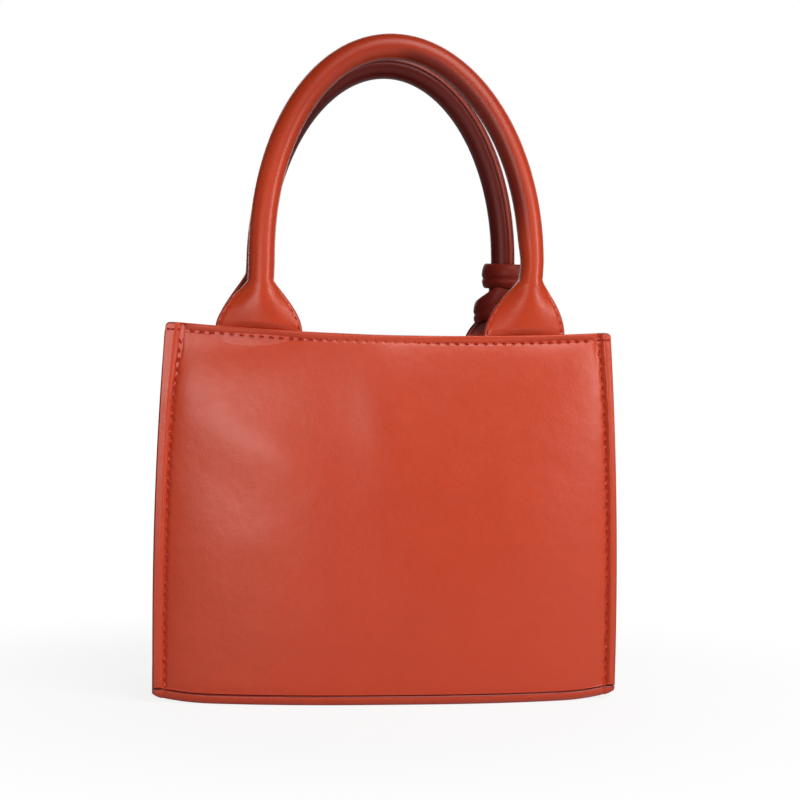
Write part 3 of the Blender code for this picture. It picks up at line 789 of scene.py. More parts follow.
def panel_relief(side, across, points):
    """What a panel's outer face adds to its bowed form, and the painted shade of each needle
    hole.

    Rolled flanges and hem as half sine waves, a groove at the side seams as a bell curve, a
    small pit at each hole, the leather drawn in along the seams, and a few lasting bulges.
    """
    s = body_sizes()
    x = points[..., 0]
    z = points[..., 2]
    half = seam_half_width(z)
    e = half + s.flange - np.abs(x)
    h = rim_height(side, across) - z
    line = seam_edge_distance(z, np.sign(x) * -side)
    sewn = e - line - side_wander(z, 1.0 + np.sign(x))
    top = stitch_sizes().top_margin
    rise = bow(z) * (1.0 - np.clip(np.abs(x) / half, 0.0, 1.0) ** BOW_SHAPE)
    line_share = np.clip((half + s.flange - line) / half, 0.0, 1.0)
    line_rise = bow(z) * (1.0 - line_share ** BOW_SHAPE)
    past = np.clip(e - line, 0.0, None)
    rolled = ROLL_HEIGHT * np.sin(np.pi * np.clip(e / line, 0.0, 1.0) ** 1.7) ** 0.8
    drawn = -(SEAM_DEPTH + line_rise) * np.exp(-past / 0.0042)
    flat = -np.minimum(rise, line_rise) - SEAM_DEPTH * smoothstep((e / line - 0.50) / 0.50)
    groove = -SEAM_GROOVE * hump(sewn, 0.0008)
    side_hole = to_hole(z, stitch_sizes().side_pitch)
    side_holes = hump(sewn - 0.0003, 0.0008) * hump(side_hole, 0.0008)
    inside = smoothstep(past / 0.004)
    hem = 0.00030 * np.sin(np.pi * np.clip(h / top, 0.0, 1.0))
    along = to_hole(x, stitch_sizes().top_pitch)
    slant = (h - top) + 0.35 * side * along
    hem_holes = inside * hump(slant, 0.00045) * hump(along, 0.00065)
    # The hem is drawn in most at two places, near each end of the rim
    pull = 0.00060 + 0.00100 * hump(x + side * 0.078, 0.020)
    pull = pull + 0.00080 * hump(x - side * 0.052, 0.013)
    pulled = -pull * np.exp(-np.clip(h - top, 0.0, None) / 0.0060) * smoothstep(h / top)
    up = z - s.strip - corner_lift(across)
    tucked = -0.00060 * np.exp(-up / 0.0016)
    relief = (
        rolled + np.where(e > line, drawn, flat) + groove - 0.00050 * side_holes + tucked
        + bulges(side, x, z) + inside * (hem + pulled) - 0.00065 * hem_holes)
    # The second value is painted shade in each needle hole
    return relief, 0.66 * hem_holes + 0.70 * side_holes


def with_flanges(inner, near, count):
    """Grid lines across a leather, with near ones at the side seams and some on the flanges."""
    width = body_sizes().flange
    flange = 1.0 + evenly(0.0, 1.0 - 0.0010 / width, count)
    edge = edge_steps(2.0, -1.0, EDGE_RADIUS / width)
    return lines(inner, near, -near, flange, -flange, edge, -edge)


def panel_columns():
    """Grid lines across a panel: six to each stitch of the rim, closer at the side seams."""
    half = rim_half_width()
    pitch = stitch_sizes().top_pitch
    count = int(half / pitch)
    phases = np.array([0.0, 0.12, 0.3, 0.5, 0.7, 0.88])
    inner = (np.arange(-count - 1, count + 1)[:, None] + phases).ravel() * pitch / half
    inner = inner[np.abs(inner) < 1.0 - 0.0035 / half]
    return with_flanges(inner, evenly(1.0 - 0.0032 / half, 1.0, 9), 12)


def panel_rows():
    """Grid lines up a panel, as shares of its height: five to each side stitch."""
    s = body_sizes()
    tall = s.corner_height - s.strip
    pitch = stitch_sizes().side_pitch
    phases = np.array([0.0, 0.13, 0.35, 0.65, 0.87])
    count = int(s.corner_height / pitch) + 1
    body = ((np.arange(count)[:, None] + phases).ravel() * pitch - s.strip) / tall
    body = body[(body > 0.002 / tall) & (body < 1.0 - 0.0062 / tall)]
    hem = 1.0 - evenly(0.0011, 0.0060, 16) / tall
    radius = EDGE_RADIUS / tall
    return lines(body, hem, edge_steps(1.0, -1.0, radius), edge_steps(0.0, 1.0, radius))


def make_panel(word, side):
    """Outer leather of one face, from side flange to side flange."""
    s = body_sizes()
    across, share = np.meshgrid(panel_columns(), panel_rows())
    low = s.strip + 0.0002 + corner_lift(across)
    top = rim_height(side, across) - corner_round((2.0 - np.abs(across)) * s.flange)
    middle = wall_points(side, across, low + (top - low) * share, 0.0)
    raw = smoothstep((np.abs(across) - 1.0) / 0.3)
    # The second value is painted shade in each needle hole
    relief, hole_shade = panel_relief(side, across, middle)
    piece = leather_sheet(
        f"{word}_panel_leather", middle, (0.0, side, 0.0), s.leather, "leather", relief,
        raw=raw, hole_shade=hole_shade, straight=True)
    finish_piece(piece, [f"{word}_panel"])


def make_base():
    """Base leather: flat below, turned up in a quarter circle into the strip at both faces."""
    s = body_sizes()
    radius = s.strip - s.leather / 2.0
    near = 1.0 - evenly(0.0, 0.004, 8) / seam_half_width(s.strip)
    columns = with_flanges(evenly(-1.0, 1.0, 120), near, 10)
    turn = np.concatenate([
        np.array([0.0, 0.01, 0.03, 0.08, 0.14, 0.22]), evenly(0.3, math.pi / 2.0, 12)])
    flat = evenly(-1.0, 1.0, 14)[1:-1]
    end = np.concatenate([-np.ones(len(turn)), flat, np.ones(len(turn))])
    angle = np.concatenate([turn, np.full(len(flat), math.pi / 2.0), turn[::-1]])[:, None]
    across, end = np.meshgrid(columns, end)
    edge_points = wall_points(1.0, across, s.strip, 0.0)
    y = end * (edge_points[..., 1] - radius + radius * np.cos(angle))
    squeeze = 1.0 - 0.62 * np.clip(np.abs(across) - 1.0, 0.0, 1.0) ** 2
    z = s.strip - radius * np.sin(angle) * squeeze + corner_lift(across)
    points = points_of(edge_points[..., 0], y, z)
    seam = hump(np.abs(points[..., 0]) - seam_half_width(s.strip), 0.0006)
    relief = 0.00025 * np.sin(2.0 * angle) - 0.0005 * seam * np.cos(angle)
    piece = leather_sheet(
        "base_leather", points, (0.0, 0.0, -1.0), s.leather, "leather", relief, 2)
    finish_piece(piece, ["base_panel"])


def gusset_fold(y, z, clear):
    """How far the side is folded in: a squared cosine over the depth, growing to the mouth."""
    half = corner_half_depth(z) - clear
    share = np.clip(y / half, -1.0, 1.0)
    rise = np.clip(height_share(z), 0.0, 1.0) ** 1.5
    return body_sizes().gusset_fold * rise * np.cos(share * math.pi / 2.0) ** 2


def gusset_border(tau, radius):
    """The three-sided edge of a gusset in the YZ plane, with its inward direction.

    tau runs from -1 at the front top over 0 at the middle of the bottom to 1 at the rear top:
    straight up the sides, a quarter circle at each lower corner, and straight below.
    """
    s = body_sizes()
    top = s.corner_height
    centre = s.strip + s.corner_lift
    half = float(corner_half_depth(centre)) - LIP_INSET
    flat = half - radius
    bend = radius * math.pi / 2.0
    total = flat + bend + (top - centre)
    way = np.abs(tau) * total
    angle = np.clip((way - flat) / radius, 0.0, math.pi / 2.0)
    up = np.clip(way - flat - bend, 0.0, None)
    z = centre - radius * np.cos(angle) + up
    side_half = corner_half_depth(z) - LIP_INSET
    y = np.minimum(way, flat) + radius * np.sin(angle)
    y = np.where(up > 0.0, side_half, y)
    inward_y = -np.sin(angle)
    inward_z = np.cos(angle)
    sign = np.sign(tau + 1e-12)
    return sign * y, z, sign * inward_y, inward_z


def make_gusset(word, end):
    """Side leather: a lip turned out along three sides, a tight bend, and the folded web."""
    s = body_sizes()
    lip_width = s.flange - LIP_BEND
    corner = evenly(0.155, 0.20, 12)
    tau = lines(grid_lines(-1.0, 1.0, 150, 0.004), corner, -corner)[:, None]
    lip = 1.0 - lines(edge_steps(0.0, 1.0, 0.15), evenly(0.2, 1.0, 8))
    turn = evenly(0.0, math.pi / 2.0, 8)[1:]
    web = evenly(0.0, 1.0, 26)[1:] ** 1.3
    lip_part = np.concatenate([lip, np.zeros(len(turn) + len(web))])
    turn_part = np.concatenate([np.zeros(len(lip)), turn, np.full(len(web), math.pi / 2.0)])
    web_part = np.concatenate([np.zeros(len(lip) + len(turn)), web])
    edge_y, edge_z, in_y, in_z = gusset_border(tau, s.strip - s.leather / 2.0 - LIP_INSET)
    inward = LIP_BEND * (1.0 - np.cos(turn_part))
    z = edge_z + in_z * inward
    # The web's grid lines run level down to WEB_TURN, and fan out in the middle below it
    part = np.abs(edge_y) / np.abs(edge_y).max() * np.clip(z / WEB_TURN, 0.0, 1.0)
    below = WEB_LOW + (WEB_TURN - WEB_LOW) * part
    target = np.maximum(np.where(edge_z > WEB_TURN, edge_z, below), edge_z)
    z = z + (target - z) * web_part
    y = (edge_y + in_y * inward) * (1.0 - web_part)
    near_rim = smoothstep((z - s.corner_height + 0.02) / 0.02)
    z = z - corner_round((1.0 - lip_part) * lip_width) * near_rim
    out = seam_half_width(z) - gusset_fold(y, z, LIP_INSET)
    out = out + LIP_BEND * (1.0 - np.sin(turn_part)) + lip_part * lip_width
    waves = 0.0004 * web_part * (1.0 - web_part) * np.sin(z * 90.0)
    points = points_of(end * (out + waves), y, z)
    normal = surface_normals(points)
    if np.sum(normal[:, -10:, 0]) * end < 0.0:
        normal = -normal
    # Both halves meet in the middle line, so their normals there have no part across it
    normal[:, -1, 1] = 0.0
    normal = unit(normal)
    distance = np.minimum(travelled(points, 1)[0], np.minimum(*travelled(points, 0)))
    radius = s.thin_leather / 2.0
    half = rounded(distance, radius)
    groove = -0.0003 * hump(lip_part * lip_width - 0.0006, 0.0005) * (distance > radius)
    outer = points + normal * (half + groove)[..., None]
    inner = points - normal * half[..., None]
    index = np.arange(half.size).reshape(half.shape)
    faces = np.concatenate([quads(index), quads(index + half.size)]).tolist()
    cut = hump(distance, 0.45 * s.thin_leather)
    piece = add_piece(
        f"{word}_gusset_leather", np.stack([outer, inner]), faces, "leather",
        {"edge_paint_and_hole_shade": np.stack([cut, cut])}, merge=True)
    finish_piece(piece, [f"{word}_gusset"])


# Inside


def tab_closeness(across):
    """One where a handle tab is sewn in, nothing in between."""
    handle = handle_sizes()
    apart = np.abs(np.abs(across) * rim_half_width() - handle.spacing / 2.0)
    return 1.0 - smoothstep((apart - handle.tab_width / 2.0 - 0.0012) / 0.007)


def wall_margin():
    """How far the ends of the inside layers stay from the side seams."""
    return GUSSET_LEATHER + body_sizes().cloth + 0.0012 + 3.0 * SEAT_GAP


def facing_inset(across, below):
    """The facing lies against the rim tape, and steps back where a tab is sewn in."""
    near_rim = 1.0 - smoothstep((below - 0.009) / 0.010)
    closed = near_rim * (1.0 - tab_closeness(across))
    return FACING_INSET + (FACING_CLOSED_INSET - FACING_INSET) * closed


def make_wall_facing(word, side):
    """Leather band inside the rim, with a stitched lower edge."""
    s = body_sizes()
    rows = lines(
        grid_lines(0.0, 1.0, 30, 0.024), evenly(0.07, 0.17, 8), evenly(0.82, 0.92, 8))
    across, share = np.meshgrid(grid_lines(-1.0, 1.0, 220, 0.006), rows)
    rim = rim_height(side, across) - SEAT_GAP
    below = s.facing * (1.0 - share)
    middle = wall_points(side, across, rim - below, facing_inset(across, below), wall_margin())
    seams = (stitch_sizes().top_margin, s.facing - FACING_SEAM_MARGIN)
    relief = sum(-0.0003 * hump(below - seam, 0.0006) for seam in seams)
    piece = leather_sheet(
        f"{word}_facing_leather", middle, (0.0, -side, 0.0), s.thin_leather, "facing", relief)
    finish_piece(piece, [f"{word}_facing"])


def side_sheet(name, end, low, high, inset, thickness, kind):
    """A layer inside a gusset, parallel to its folded web."""
    s = body_sizes()
    clear = s.leather / 2.0 + FACING_INSET + s.thin_leather
    rows = grid_lines(0.0, 1.0, 36, 0.0006 / (high - low))
    c, share = np.meshgrid(grid_lines(-1.0, 1.0, 60, 0.02), rows)
    z = low + (high - low) * share
    y = c * (corner_half_depth(z) - clear)
    x = seam_half_width(z) - gusset_fold(y, z, clear) - GUSSET_LEATHER / 2.0 - inset
    return leather_sheet(name, points_of(end * x, y, z), (-end, 0.0, 0.0), thickness, kind)


def make_side_inside(word, end):
    """Facing and lining of one side."""
    s = body_sizes()
    low_edge = s.corner_height - s.facing
    facing = side_sheet(
        f"{word}_facing_leather", end, low_edge, s.corner_height - SEAT_GAP,
        s.thin_leather / 2.0 + 2.0 * SEAT_GAP, s.thin_leather, "facing")
    finish_piece(facing, [f"{word}_facing"])
    lining = side_sheet(
        f"{word}_lining_cloth", end, LINING_FOOT, low_edge + 0.002,
        s.cloth / 2.0 + 1.2 * SEAT_GAP, s.cloth * 0.7, "lining")
    finish_piece(lining, [f"{word}_lining"])


def make_wall_lining(word, side):
    """Lining of one wall, its upper edge tucked behind the facing."""
    s = body_sizes()
    across, share = np.meshgrid(
        grid_lines(-1.0, 1.0, 90, 0.005), grid_lines(0.0, 1.0, 70, 0.003))
    top = rim_height(side, across) - s.facing + 0.003
    z = LINING_FOOT + (top - LINING_FOOT) * share
    tuck = smoothstep((share - 0.82) / 0.15)
    slack = 0.0007 * np.sin(across * 9.0 + side) * np.sin(share * 7.0) * (1.0 - tuck)
    slack = slack * np.sin(np.pi * share) ** 0.5 + 0.0008 * (1.0 - tuck)
    inset = LINING_INSET + slack + (LINING_TUCK_INSET - LINING_INSET) * tuck
    middle = wall_points(side, across, z, inset, wall_margin())
    piece = leather_sheet(
        f"{word}_lining_cloth", middle, (0.0, -side, 0.0), s.cloth * 0.75, "lining")
    finish_piece(piece, [f"{word}_lining"])


def make_base_lining():
    """Lining over the base board, softly uneven."""
    s = body_sizes()
    across, share = np.meshgrid(
        grid_lines(-1.0, 1.0, 80, 0.004), grid_lines(-1.0, 1.0, 40, 0.01))
    edge = wall_points(1.0, across, s.strip, s.leather + 2.0 * SEAT_GAP, wall_margin())
    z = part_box("base_lining")[0].z + s.cloth / 2.0 + corner_lift(across)
    z = z + 0.00018 * np.sin(across * 11.0) * np.sin(share * 4.0 + 0.7)
    points = points_of(edge[..., 0], share * edge[..., 1], z)
    piece = leather_sheet("base_lining_cloth", points, (0.0, 0.0, 1.0), s.cloth, "lining")
    finish_piece(piece, ["base_lining"])


def make_rim_tape(word, side):
    """Woven tape between outer leather and facing, in three lengths between the tabs."""
    half = rim_half_width()
    for place in ("left", "middle", "right"):
        node = f"{word}_{place}_rim_tape"
        low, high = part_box(node)
        across, share = np.meshgrid(
            grid_lines(low.x / half, high.x / half, 40, 0.002), grid_lines(0.0, 1.0, 12, 0.02))
        z = rim_height(side, across) - TAPE_DROP - TAPE_HEIGHT * (1.0 - share)
        middle = wall_points(side, across, z, TAPE_INSET)
        piece = leather_sheet(f"{node}_cloth", middle, (0.0, side, 0.0), TAPE_THICKNESS, "tape")
        finish_piece(piece, [node])


# Handles


# One leg of a handle: its side, its tab's flare and width, and where the arch starts
Leg = namedtuple("Leg", "side flare width top")
# One handle: its name and side, its two legs, and how far its top sways aside
Handle = namedtuple("Handle", "word side left right sway")


def both_handles():
    """The two handles stand a little unevenly; the strap gathers the rear right tab."""
    s = handle_sizes()
    return (
        Handle("front", FRONT, Leg(LEFT, 0.90 * s.tab_flare, s.tab_width, -0.0605),
               Leg(RIGHT, 1.04 * s.tab_flare, s.tab_width, 0.0644), -0.0018),
        Handle("rear", REAR, Leg(LEFT, 1.22 * s.tab_flare, 0.90 * s.tab_width, -0.0581),
               Leg(RIGHT, s.gathered_flare, s.gathered_width, 0.0644), -0.0003),
    )


def leg_x(leg, h):
    """Centre line of a leg: an ease from the middle of the tab to the foot of the arch."""
    s = handle_sizes()
    foot = leg.side * s.spacing / 2.0
    return foot + (leg.top - foot) * smoothstep(h / (s.rise - s.arch))


def leg_half_width(leg, h):
    """Bell outline over the height h: radius + (tab - radius) * (1 - h^1.8)^1.25."""
    radius = handle_sizes().tube / 2.0
    up = np.clip(h / leg.flare, 0.0, 1.0)
    return radius + (leg.width / 2.0 - radius) * (1.0 - up ** 1.8) ** 1.25


def leg_heights(leg, count):
    """Heights over the tab's end along a leg, from the sewn-in end up to the arch."""
    s = handle_sizes()
    root = evenly(-s.tab_root, -0.0015, 8)
    fold = evenly(-0.0010, 0.0030, 9)
    return lines(root, fold, evenly(0.0035, leg.flare, count),
                 evenly(leg.flare + 0.001, s.rise - s.arch, 10))


def handle_stations(handle):
    """Centre line of a handle: x, height, sideways direction, half width, share of the flare."""
    s = handle_sizes()
    start = s.rise - s.arch
    rows = []
    for leg in (handle.left, handle.right):
        h = leg_heights(leg, 34)
        rows.append((
            leg_x(leg, h), h, np.full(len(h), leg.side), np.zeros(len(h)),
            leg_half_width(leg, h), np.clip(h / leg.flare, 0.0, 1.0)))
    middle = (handle.right.top + handle.left.top) / 2.0
    half = (handle.right.top - handle.left.top) / 2.0
    angle = evenly(math.pi, 0.0, 92)[1:-1]
    across = np.stack([s.arch * np.cos(angle), half * np.sin(angle)])
    across = across / np.linalg.norm(across, axis=0)
    arch = (
        middle + half * np.cos(angle) + handle.sway * np.sin(angle) ** 2,
        start + s.arch * np.sin(angle), across[0], across[1],
        np.full(len(angle), s.tube / 2.0), np.ones(len(angle)))
    return [np.concatenate([rows[0][i], arch[i], rows[1][i][::-1]]) for i in range(len(arch))]


def section_angles(seam):
    """Angles round the roll, closer together at its long seam."""
    base = evenly(0.0, 2.0 * math.pi, 81)[:-1]
    return lines(np.mod(np.concatenate([base, seam + evenly(-0.46, 0.46, 25)]), 2.0 * math.pi))


def hinge_of(side):
    """Place of the fold of the front or rear handle."""
    return HINGES["front_handle" if side == FRONT else "rear_handle"]


def leaned(side, x, deep, h):
    """Points of a handle's own frame, h over the tab's end, turned about its fold by its lean."""
    s = handle_sizes()
    hinge = hinge_of(side)
    up = h - s.hinge_height
    lean = side * s.lean
    return points_of(
        x, hinge.y + deep * math.cos(lean) - up * math.sin(lean),
        hinge.z + deep * math.sin(lean) + up * math.cos(lean))


def to_bag(side, x, deep, h):
    """Handle points in the bag. Below the fold a tab follows its slot, curved like the wall."""
    points = leaned(side, x, deep, h)
    y, z = points[..., 1], points[..., 2]
    half = seam_half_width(z)
    fold = hinge_of(side).z
    centre = np.sign(x) * handle_sizes().spacing / 2.0
    slot = wall_points(side, x / half, z, ROOT_INSET)[..., 1] + deep
    here = wall_points(side, x / half, fold, ROOT_INSET)[..., 1]
    middle = wall_points(side, centre / half, fold, ROOT_INSET)[..., 1]
    curved = y + (here - middle) * (1.0 - smoothstep(h / 0.016))
    sunk = 1.0 - smoothstep((h + 0.003) / 0.006)
    points[..., 1] = curved + (slot - curved) * sunk
    return points


def roundness(half_width):
    """From 0 on the wide part of a tab to 1 on the roll."""
    return smoothstep((handle_sizes().tube / 2.0 / half_width - 0.45) / 0.55)


def edge_half(half_width):
    """Half the thickness at the edge of a tab, growing to the radius of the roll."""
    s = handle_sizes()
    return s.tab_edge / 2.0 + (s.tube - s.tab_edge) / 2.0 * roundness(half_width) ** 1.5


def handle_rings(handle):
    """Sections of a handle's leather.

    The depth over the width c from -1 to 1 is edge * sqrt(1 - |c|^p) + dome * (1 - c^2)^1.6:
    a circle on the roll, and towards the rim a plate that is fuller in its middle. The tab's
    seam and the roll's long seam are grooves with a bell profile. The last value is painted
    shade on the roll's side that faces the other handle and on the inside of the front handle's
    right arch. It is lighter on the seam's raised lip as a painted highlight, and darker over the
    top of the arch, partly from handling and partly as painted shade.
    """
    radius = handle_sizes().tube / 2.0
    front = handle.side == FRONT
    seam = math.radians(57.0) * -handle.side
    angles = section_angles(seam)
    x, h, across_x, across_z, half_width, share = (
        part[:, None] for part in handle_stations(handle))
    c = np.cos(angles)
    sine = np.sin(angles)
    power = 2.0 + 12.0 * (1.0 - roundness(half_width)) ** 2
    centre = TAB_FULLNESS + (radius - TAB_FULLNESS) * (1.0 - (1.0 - share) ** 2)
    centre = ROOT_HALF + (centre - ROOT_HALF) * smoothstep((h + 0.0010) / 0.0040)
    edge = np.minimum(edge_half(half_width), centre)
    deep = edge * np.sqrt(np.clip(1.0 - np.abs(c) ** power, 0.0, 1.0))
    deep = deep + (centre - edge) * (1.0 - c ** 2) ** 1.6
    margin = half_width * (1.0 - np.abs(c))
    flat = smoothstep((half_width - radius - 0.0012) / 0.003) * smoothstep(h / 0.001)
    deep = deep - flat * 0.00034 * hump(margin - stitch_sizes().tab_margin, 0.00045)
    way = np.mod(angles - seam + math.pi, 2.0 * math.pi) - math.pi
    apart = way * radius
    rolled = smoothstep((share - 0.80) / 0.20)
    lip = 0.00035 * smoothstep(1.0 - np.abs(apart) / 0.0019)
    grooves = 0.00075 * hump(apart - 0.0017, 0.0003) + 0.00055 * hump(apart + 0.0017, 0.0003)
    grow = 1.0 + rolled * (lip - grooves) / radius
    deep = deep * grow * np.sign(np.round(sine, 9))
    neck = hump(h - 0.033, 0.009) * (across_x > 0.5) * front
    wide = half_width * c * grow + 0.0011 * neck * smoothstep(-c)
    slope = rim_slope() * wide * (1.0 - share) * np.abs(across_x)
    points = to_bag(handle.side, x + across_x * wide, deep, h + across_z * wide + slope)
    # Painted shade on the side of the roll that faces the other handle, up to the long seam
    inner = smoothstep((0.35 - sine * handle.side) / 0.3)
    wear_and_shade = inner * smoothstep((0.62 - way * handle.side) / 0.25)
    # Painted highlight: less painted shade on the seam's raised lip
    wear_and_shade = wear_and_shade * (1.0 - 0.45 * hump(way, 0.14))
    # Darker towards the top of the arch: partly darkening from handling, partly painted shade
    arch_top_wear_and_shade = 0.35 * smoothstep((h - 0.060) / 0.060)
    # Painted shade on the inner side of the front handle's right arch
    right_arch_shade = 0.80 * smoothstep((0.25 - c) / 0.9) * smoothstep((across_x + 0.25) / 0.5)
    right_arch_shade = right_arch_shade * smoothstep((h - 0.035) / 0.03) * front
    wear_and_shade = np.maximum(wear_and_shade, np.maximum(arch_top_wear_and_shade, right_arch_shade)) * smoothstep((share - 0.05) / 0.35)
    return points, margin, flat, wear_and_shade


def rim_slope():
    """Slope of the rim's parabola at the middle of a tab, which the tab's end follows."""
    s = body_sizes()
    return (s.corner_height - s.middle_height) * handle_sizes().spacing / rim_half_width() ** 2


def fold_over(piece, word):
    """Bake a piece's place into its mesh."""
    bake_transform(piece)


def make_handle(handle):
    """Leather of one handle, from sewn-in end to sewn-in end."""
    word = handle.word
    rings, margin, flat, wear_and_shade = handle_rings(handle)
    # This attribute carries painted shade on the handles' inner sides, with some darkening from
    # handling
    piece = tube(f"{word}_handle_leather", rings, "handle", {
        "edge_paint_and_hole_shade": hump(margin, 0.00035) * flat, "wear_and_painted_shade": wear_and_shade})
    fold_over(piece, word)
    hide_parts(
        f"{word}_handle_cover", f"{word}_left_tab_root", f"{word}_right_tab_root")


def make_handle_cord(handle):
    """Three-strand cord inside the roll: a lobed section that turns along the way."""
    stations = handle_stations(handle)
    x, h, across_x, across_z = (part[stations[5] >= 1.0, None] for part in stations[:4])
    angles = evenly(0.0, 2.0 * math.pi, 25)[:-1]
    turn = 0.32 * np.arange(1, len(x) + 1)[:, None]
    radius = CORD_RADIUS + CORD_STRAND * np.abs(np.cos(1.5 * (angles + turn)))
    wide = radius * np.cos(angles)
    deep = radius * np.sin(angles)
    rings = to_bag(handle.side, x + across_x * wide, deep, h + across_z * wide)
    body = f"{handle.word}_handle"
    finish_piece(tube(f"{body}_cord", rings, "cord"), [f"{body}_core"], body)


def make_tab_stiffener(handle, word, leg):
    """Thin board inside a tab, following its bell outline."""
    share, c = np.meshgrid(evenly(0.03, 0.62, 20), evenly(-1.0, 1.0, 24))
    h = leg.flare * share
    wide = c * leg_half_width(leg, h) * 0.78
    slope = rim_slope() * leg.side * wide * (1.0 - share)
    points = to_bag(handle.side, leg_x(leg, h) + wide, 0.0, h + slope)
    name = f"{handle.word}_{word}_tab"
    piece = leather_sheet(
        f"{name}_board", points, (0.0, handle.side, 0.0), TAB_BOARD, "board", step=2)
    finish_piece(piece, [f"{name}_stiffener"], f"{handle.word}_handle")


def strap_course(turned):
    """Distance from the leg's axis and height of the strap after an angle in degrees.

    The lower end lies loosely over the gathered tab. The strap climbs across the front by a
    smooth step, goes round the back, and passes over itself as the level top turn.
    """
    s = handle_sizes()
    close = s.tube / 2.0 + 0.0003 + s.strap_thickness / 2.0
    over = close + 0.8 * s.strap_thickness
    climb, climb_turn = STRAP_CLIMB
    start, over_turn = STRAP_OVER
    radius = close + STRAP_SLACK * (1.0 - smoothstep((turned - climb) / 110.0))
    radius = radius + (over - close) * smoothstep((turned - start) / over_turn)
    climbed = smoothstep((turned - climb) / climb_turn)
    return radius, s.strap_low + (s.strap_high - s.strap_low) * climbed


def make_strap(handle):
    """Strap folded in two lengthwise and wound round the rear handle's right leg."""
    s = handle_sizes()
    turned = evenly(0.0, STRAP_TURN, STRAP_SECTIONS)
    radius, height = strap_course(turned)
    angle = np.radians(STRAP_START + turned)
    outward = points_of(np.cos(angle), np.sin(angle), 0.0)
    centre = outward * radius[:, None]
    centre[:, 0] += leg_x(handle.right, height)
    centre[:, 2] = height
    along = unit(np.gradient(centre, axis=0))
    upward = unit(np.cross(outward, along))
    upward = upward * np.sign(upward[:, 2:3])
    thick = outward_of(np.cross(along, upward), outward)
    phi = evenly(0.0, 2.0 * math.pi, 65)[:-1]
    half = s.strap_width / 2.0
    w = half * np.sign(np.cos(phi)) * np.abs(np.cos(phi)) ** 0.75
    flat = np.clip(1.0 - (np.abs(w) / half) ** 2.3, 0.0, 1.0)
    t = s.strap_thickness / 2.0 * np.sqrt(flat) - 0.00070 * hump(w + 0.0014, 0.0006)
    t = np.maximum(t, 0.0) * np.sign(np.round(np.sin(phi), 9))
    step = np.linalg.norm(np.diff(centre, axis=0), axis=1).mean()
    number = np.arange(STRAP_SECTIONS)
    tip = np.minimum(number, number[::-1]) * step
    taper = np.maximum(rounded(tip, STRAP_TIP) / STRAP_TIP, math.sqrt(0.02))[:, None, None]
    rings = (
        centre[:, None] + thick[:, None] * t[:, None] * taper ** 0.5
        + upward[:, None] * w[:, None] * taper)
    cut = np.broadcast_to(0.6 * hump(half - np.abs(w), 0.0003), rings.shape[:2])
    rings = leaned(REAR, rings[..., 0], rings[..., 1], rings[..., 2])
    piece = tube("wound_strap_leather", rings, "strap", {"edge_paint_and_hole_shade": cut})
    finish_piece(piece, ["knot_strap"], "rear_handle")


# Seams


def outward_of(normal, reference):
    """Turn each normal to the side of a reference direction."""
    return normal * np.sign(np.sum(normal * np.asarray(reference), axis=1, keepdims=True))


def seam_frame(place, u, v, reference):
    """Points of a surface, its direction along u and its outward normal, by small steps."""
    along = place(u + SMALL_STEP, v) - place(u - SMALL_STEP, v)
    up = place(u, v + SMALL_STEP) - place(u, v - SMALL_STEP)
    return place(u, v), along, outward_of(np.cross(along, up), reference)


def stitch_middles(reach, pitch):
    """Middles of a row of stitches over reach to both sides of the centre."""
    count = int(reach / pitch)
    return (np.arange(-count, count) + 0.5) * pitch


def sew(name, centres, along, outward, stitch, sink):
    """A row of stitches, riding on the bag's body."""
    finish_piece(stitches(name, centres, along, outward, stitch, sink))


def make_top_seam(word, side):
    """The visible row of stitches along a rim, from side seam to side seam."""
    pitch = stitch_sizes().top_pitch
    half = rim_half_width()

    def place(x, drop):
        across = x / half
        rim = rim_height(side, across)
        return wall_points(side, across, rim - drop, -body_sizes().leather / 2.0)

    here, along, outward = seam_frame(
        place, stitch_middles(half - 0.001, pitch), stitch_sizes().top_margin, (0.0, side, 0.0))
    # Each stitch falls a tenth of its length towards the right
    along = along + np.array([0.0, 0.0, -0.10 * 2.0 * SMALL_STEP])
    sew(f"{word}_top_seam_thread", here, along, outward, pitch * 0.50, 1.55)
    make_corner_tacks(word, side, place)


def make_corner_tacks(word, side, place):
    """The back stitches where the rim's seam ends, over both side flanges."""
    half = rim_half_width()
    x = half + np.array([-0.0002, 0.0021, 0.0040])
    for end_word, end in ENDS:
        here = place(end * np.minimum(x, half), stitch_sizes().top_margin - 0.0002)
        here[:, 0] = end * x
        here[:, 1] += side * np.array([-0.0006, 0.00015, 0.00010])
        along = points_of(end, 0.0, np.array([0.12, -0.10, 0.08]))
        sew(f"{word}_{end_word}_tack_thread", here, along, (0.0, side, 0.0),
            0.0019, 0.2)


def make_side_seam(word, side, end_word, end):
    """The stitches of one side seam on one face, from the crease to the rim."""
    s = body_sizes()
    pitch = stitch_sizes().side_pitch
    middle = (np.arange(1, int((s.corner_height - 0.003) / pitch)) + 0.5) * pitch

    def place(z, aside):
        e = seam_edge_distance(z, -side * end) + side_wander(z, 1.0 + end) + aside
        sunk = SEAM_DEPTH + SEAM_GROOVE - s.leather / 2.0
        y = wall_points(side, end, z, sunk)[..., 1]
        return points_of(end * (seam_half_width(z) + s.flange - e), y, z)

    here, along, outward = seam_frame(place, middle, 0.0, (0.0, side, 0.0))
    zigzag = np.where(np.arange(len(middle)) % 2 == 0, 1.0, -1.0)
    along = unit(along) + points_of(0.16 * end + 0.05 * zigzag, 0.0, 0.0)
    sew(f"{word}_{end_word}_seam_thread", here, along, outward,
        pitch * 0.62, 0.15)


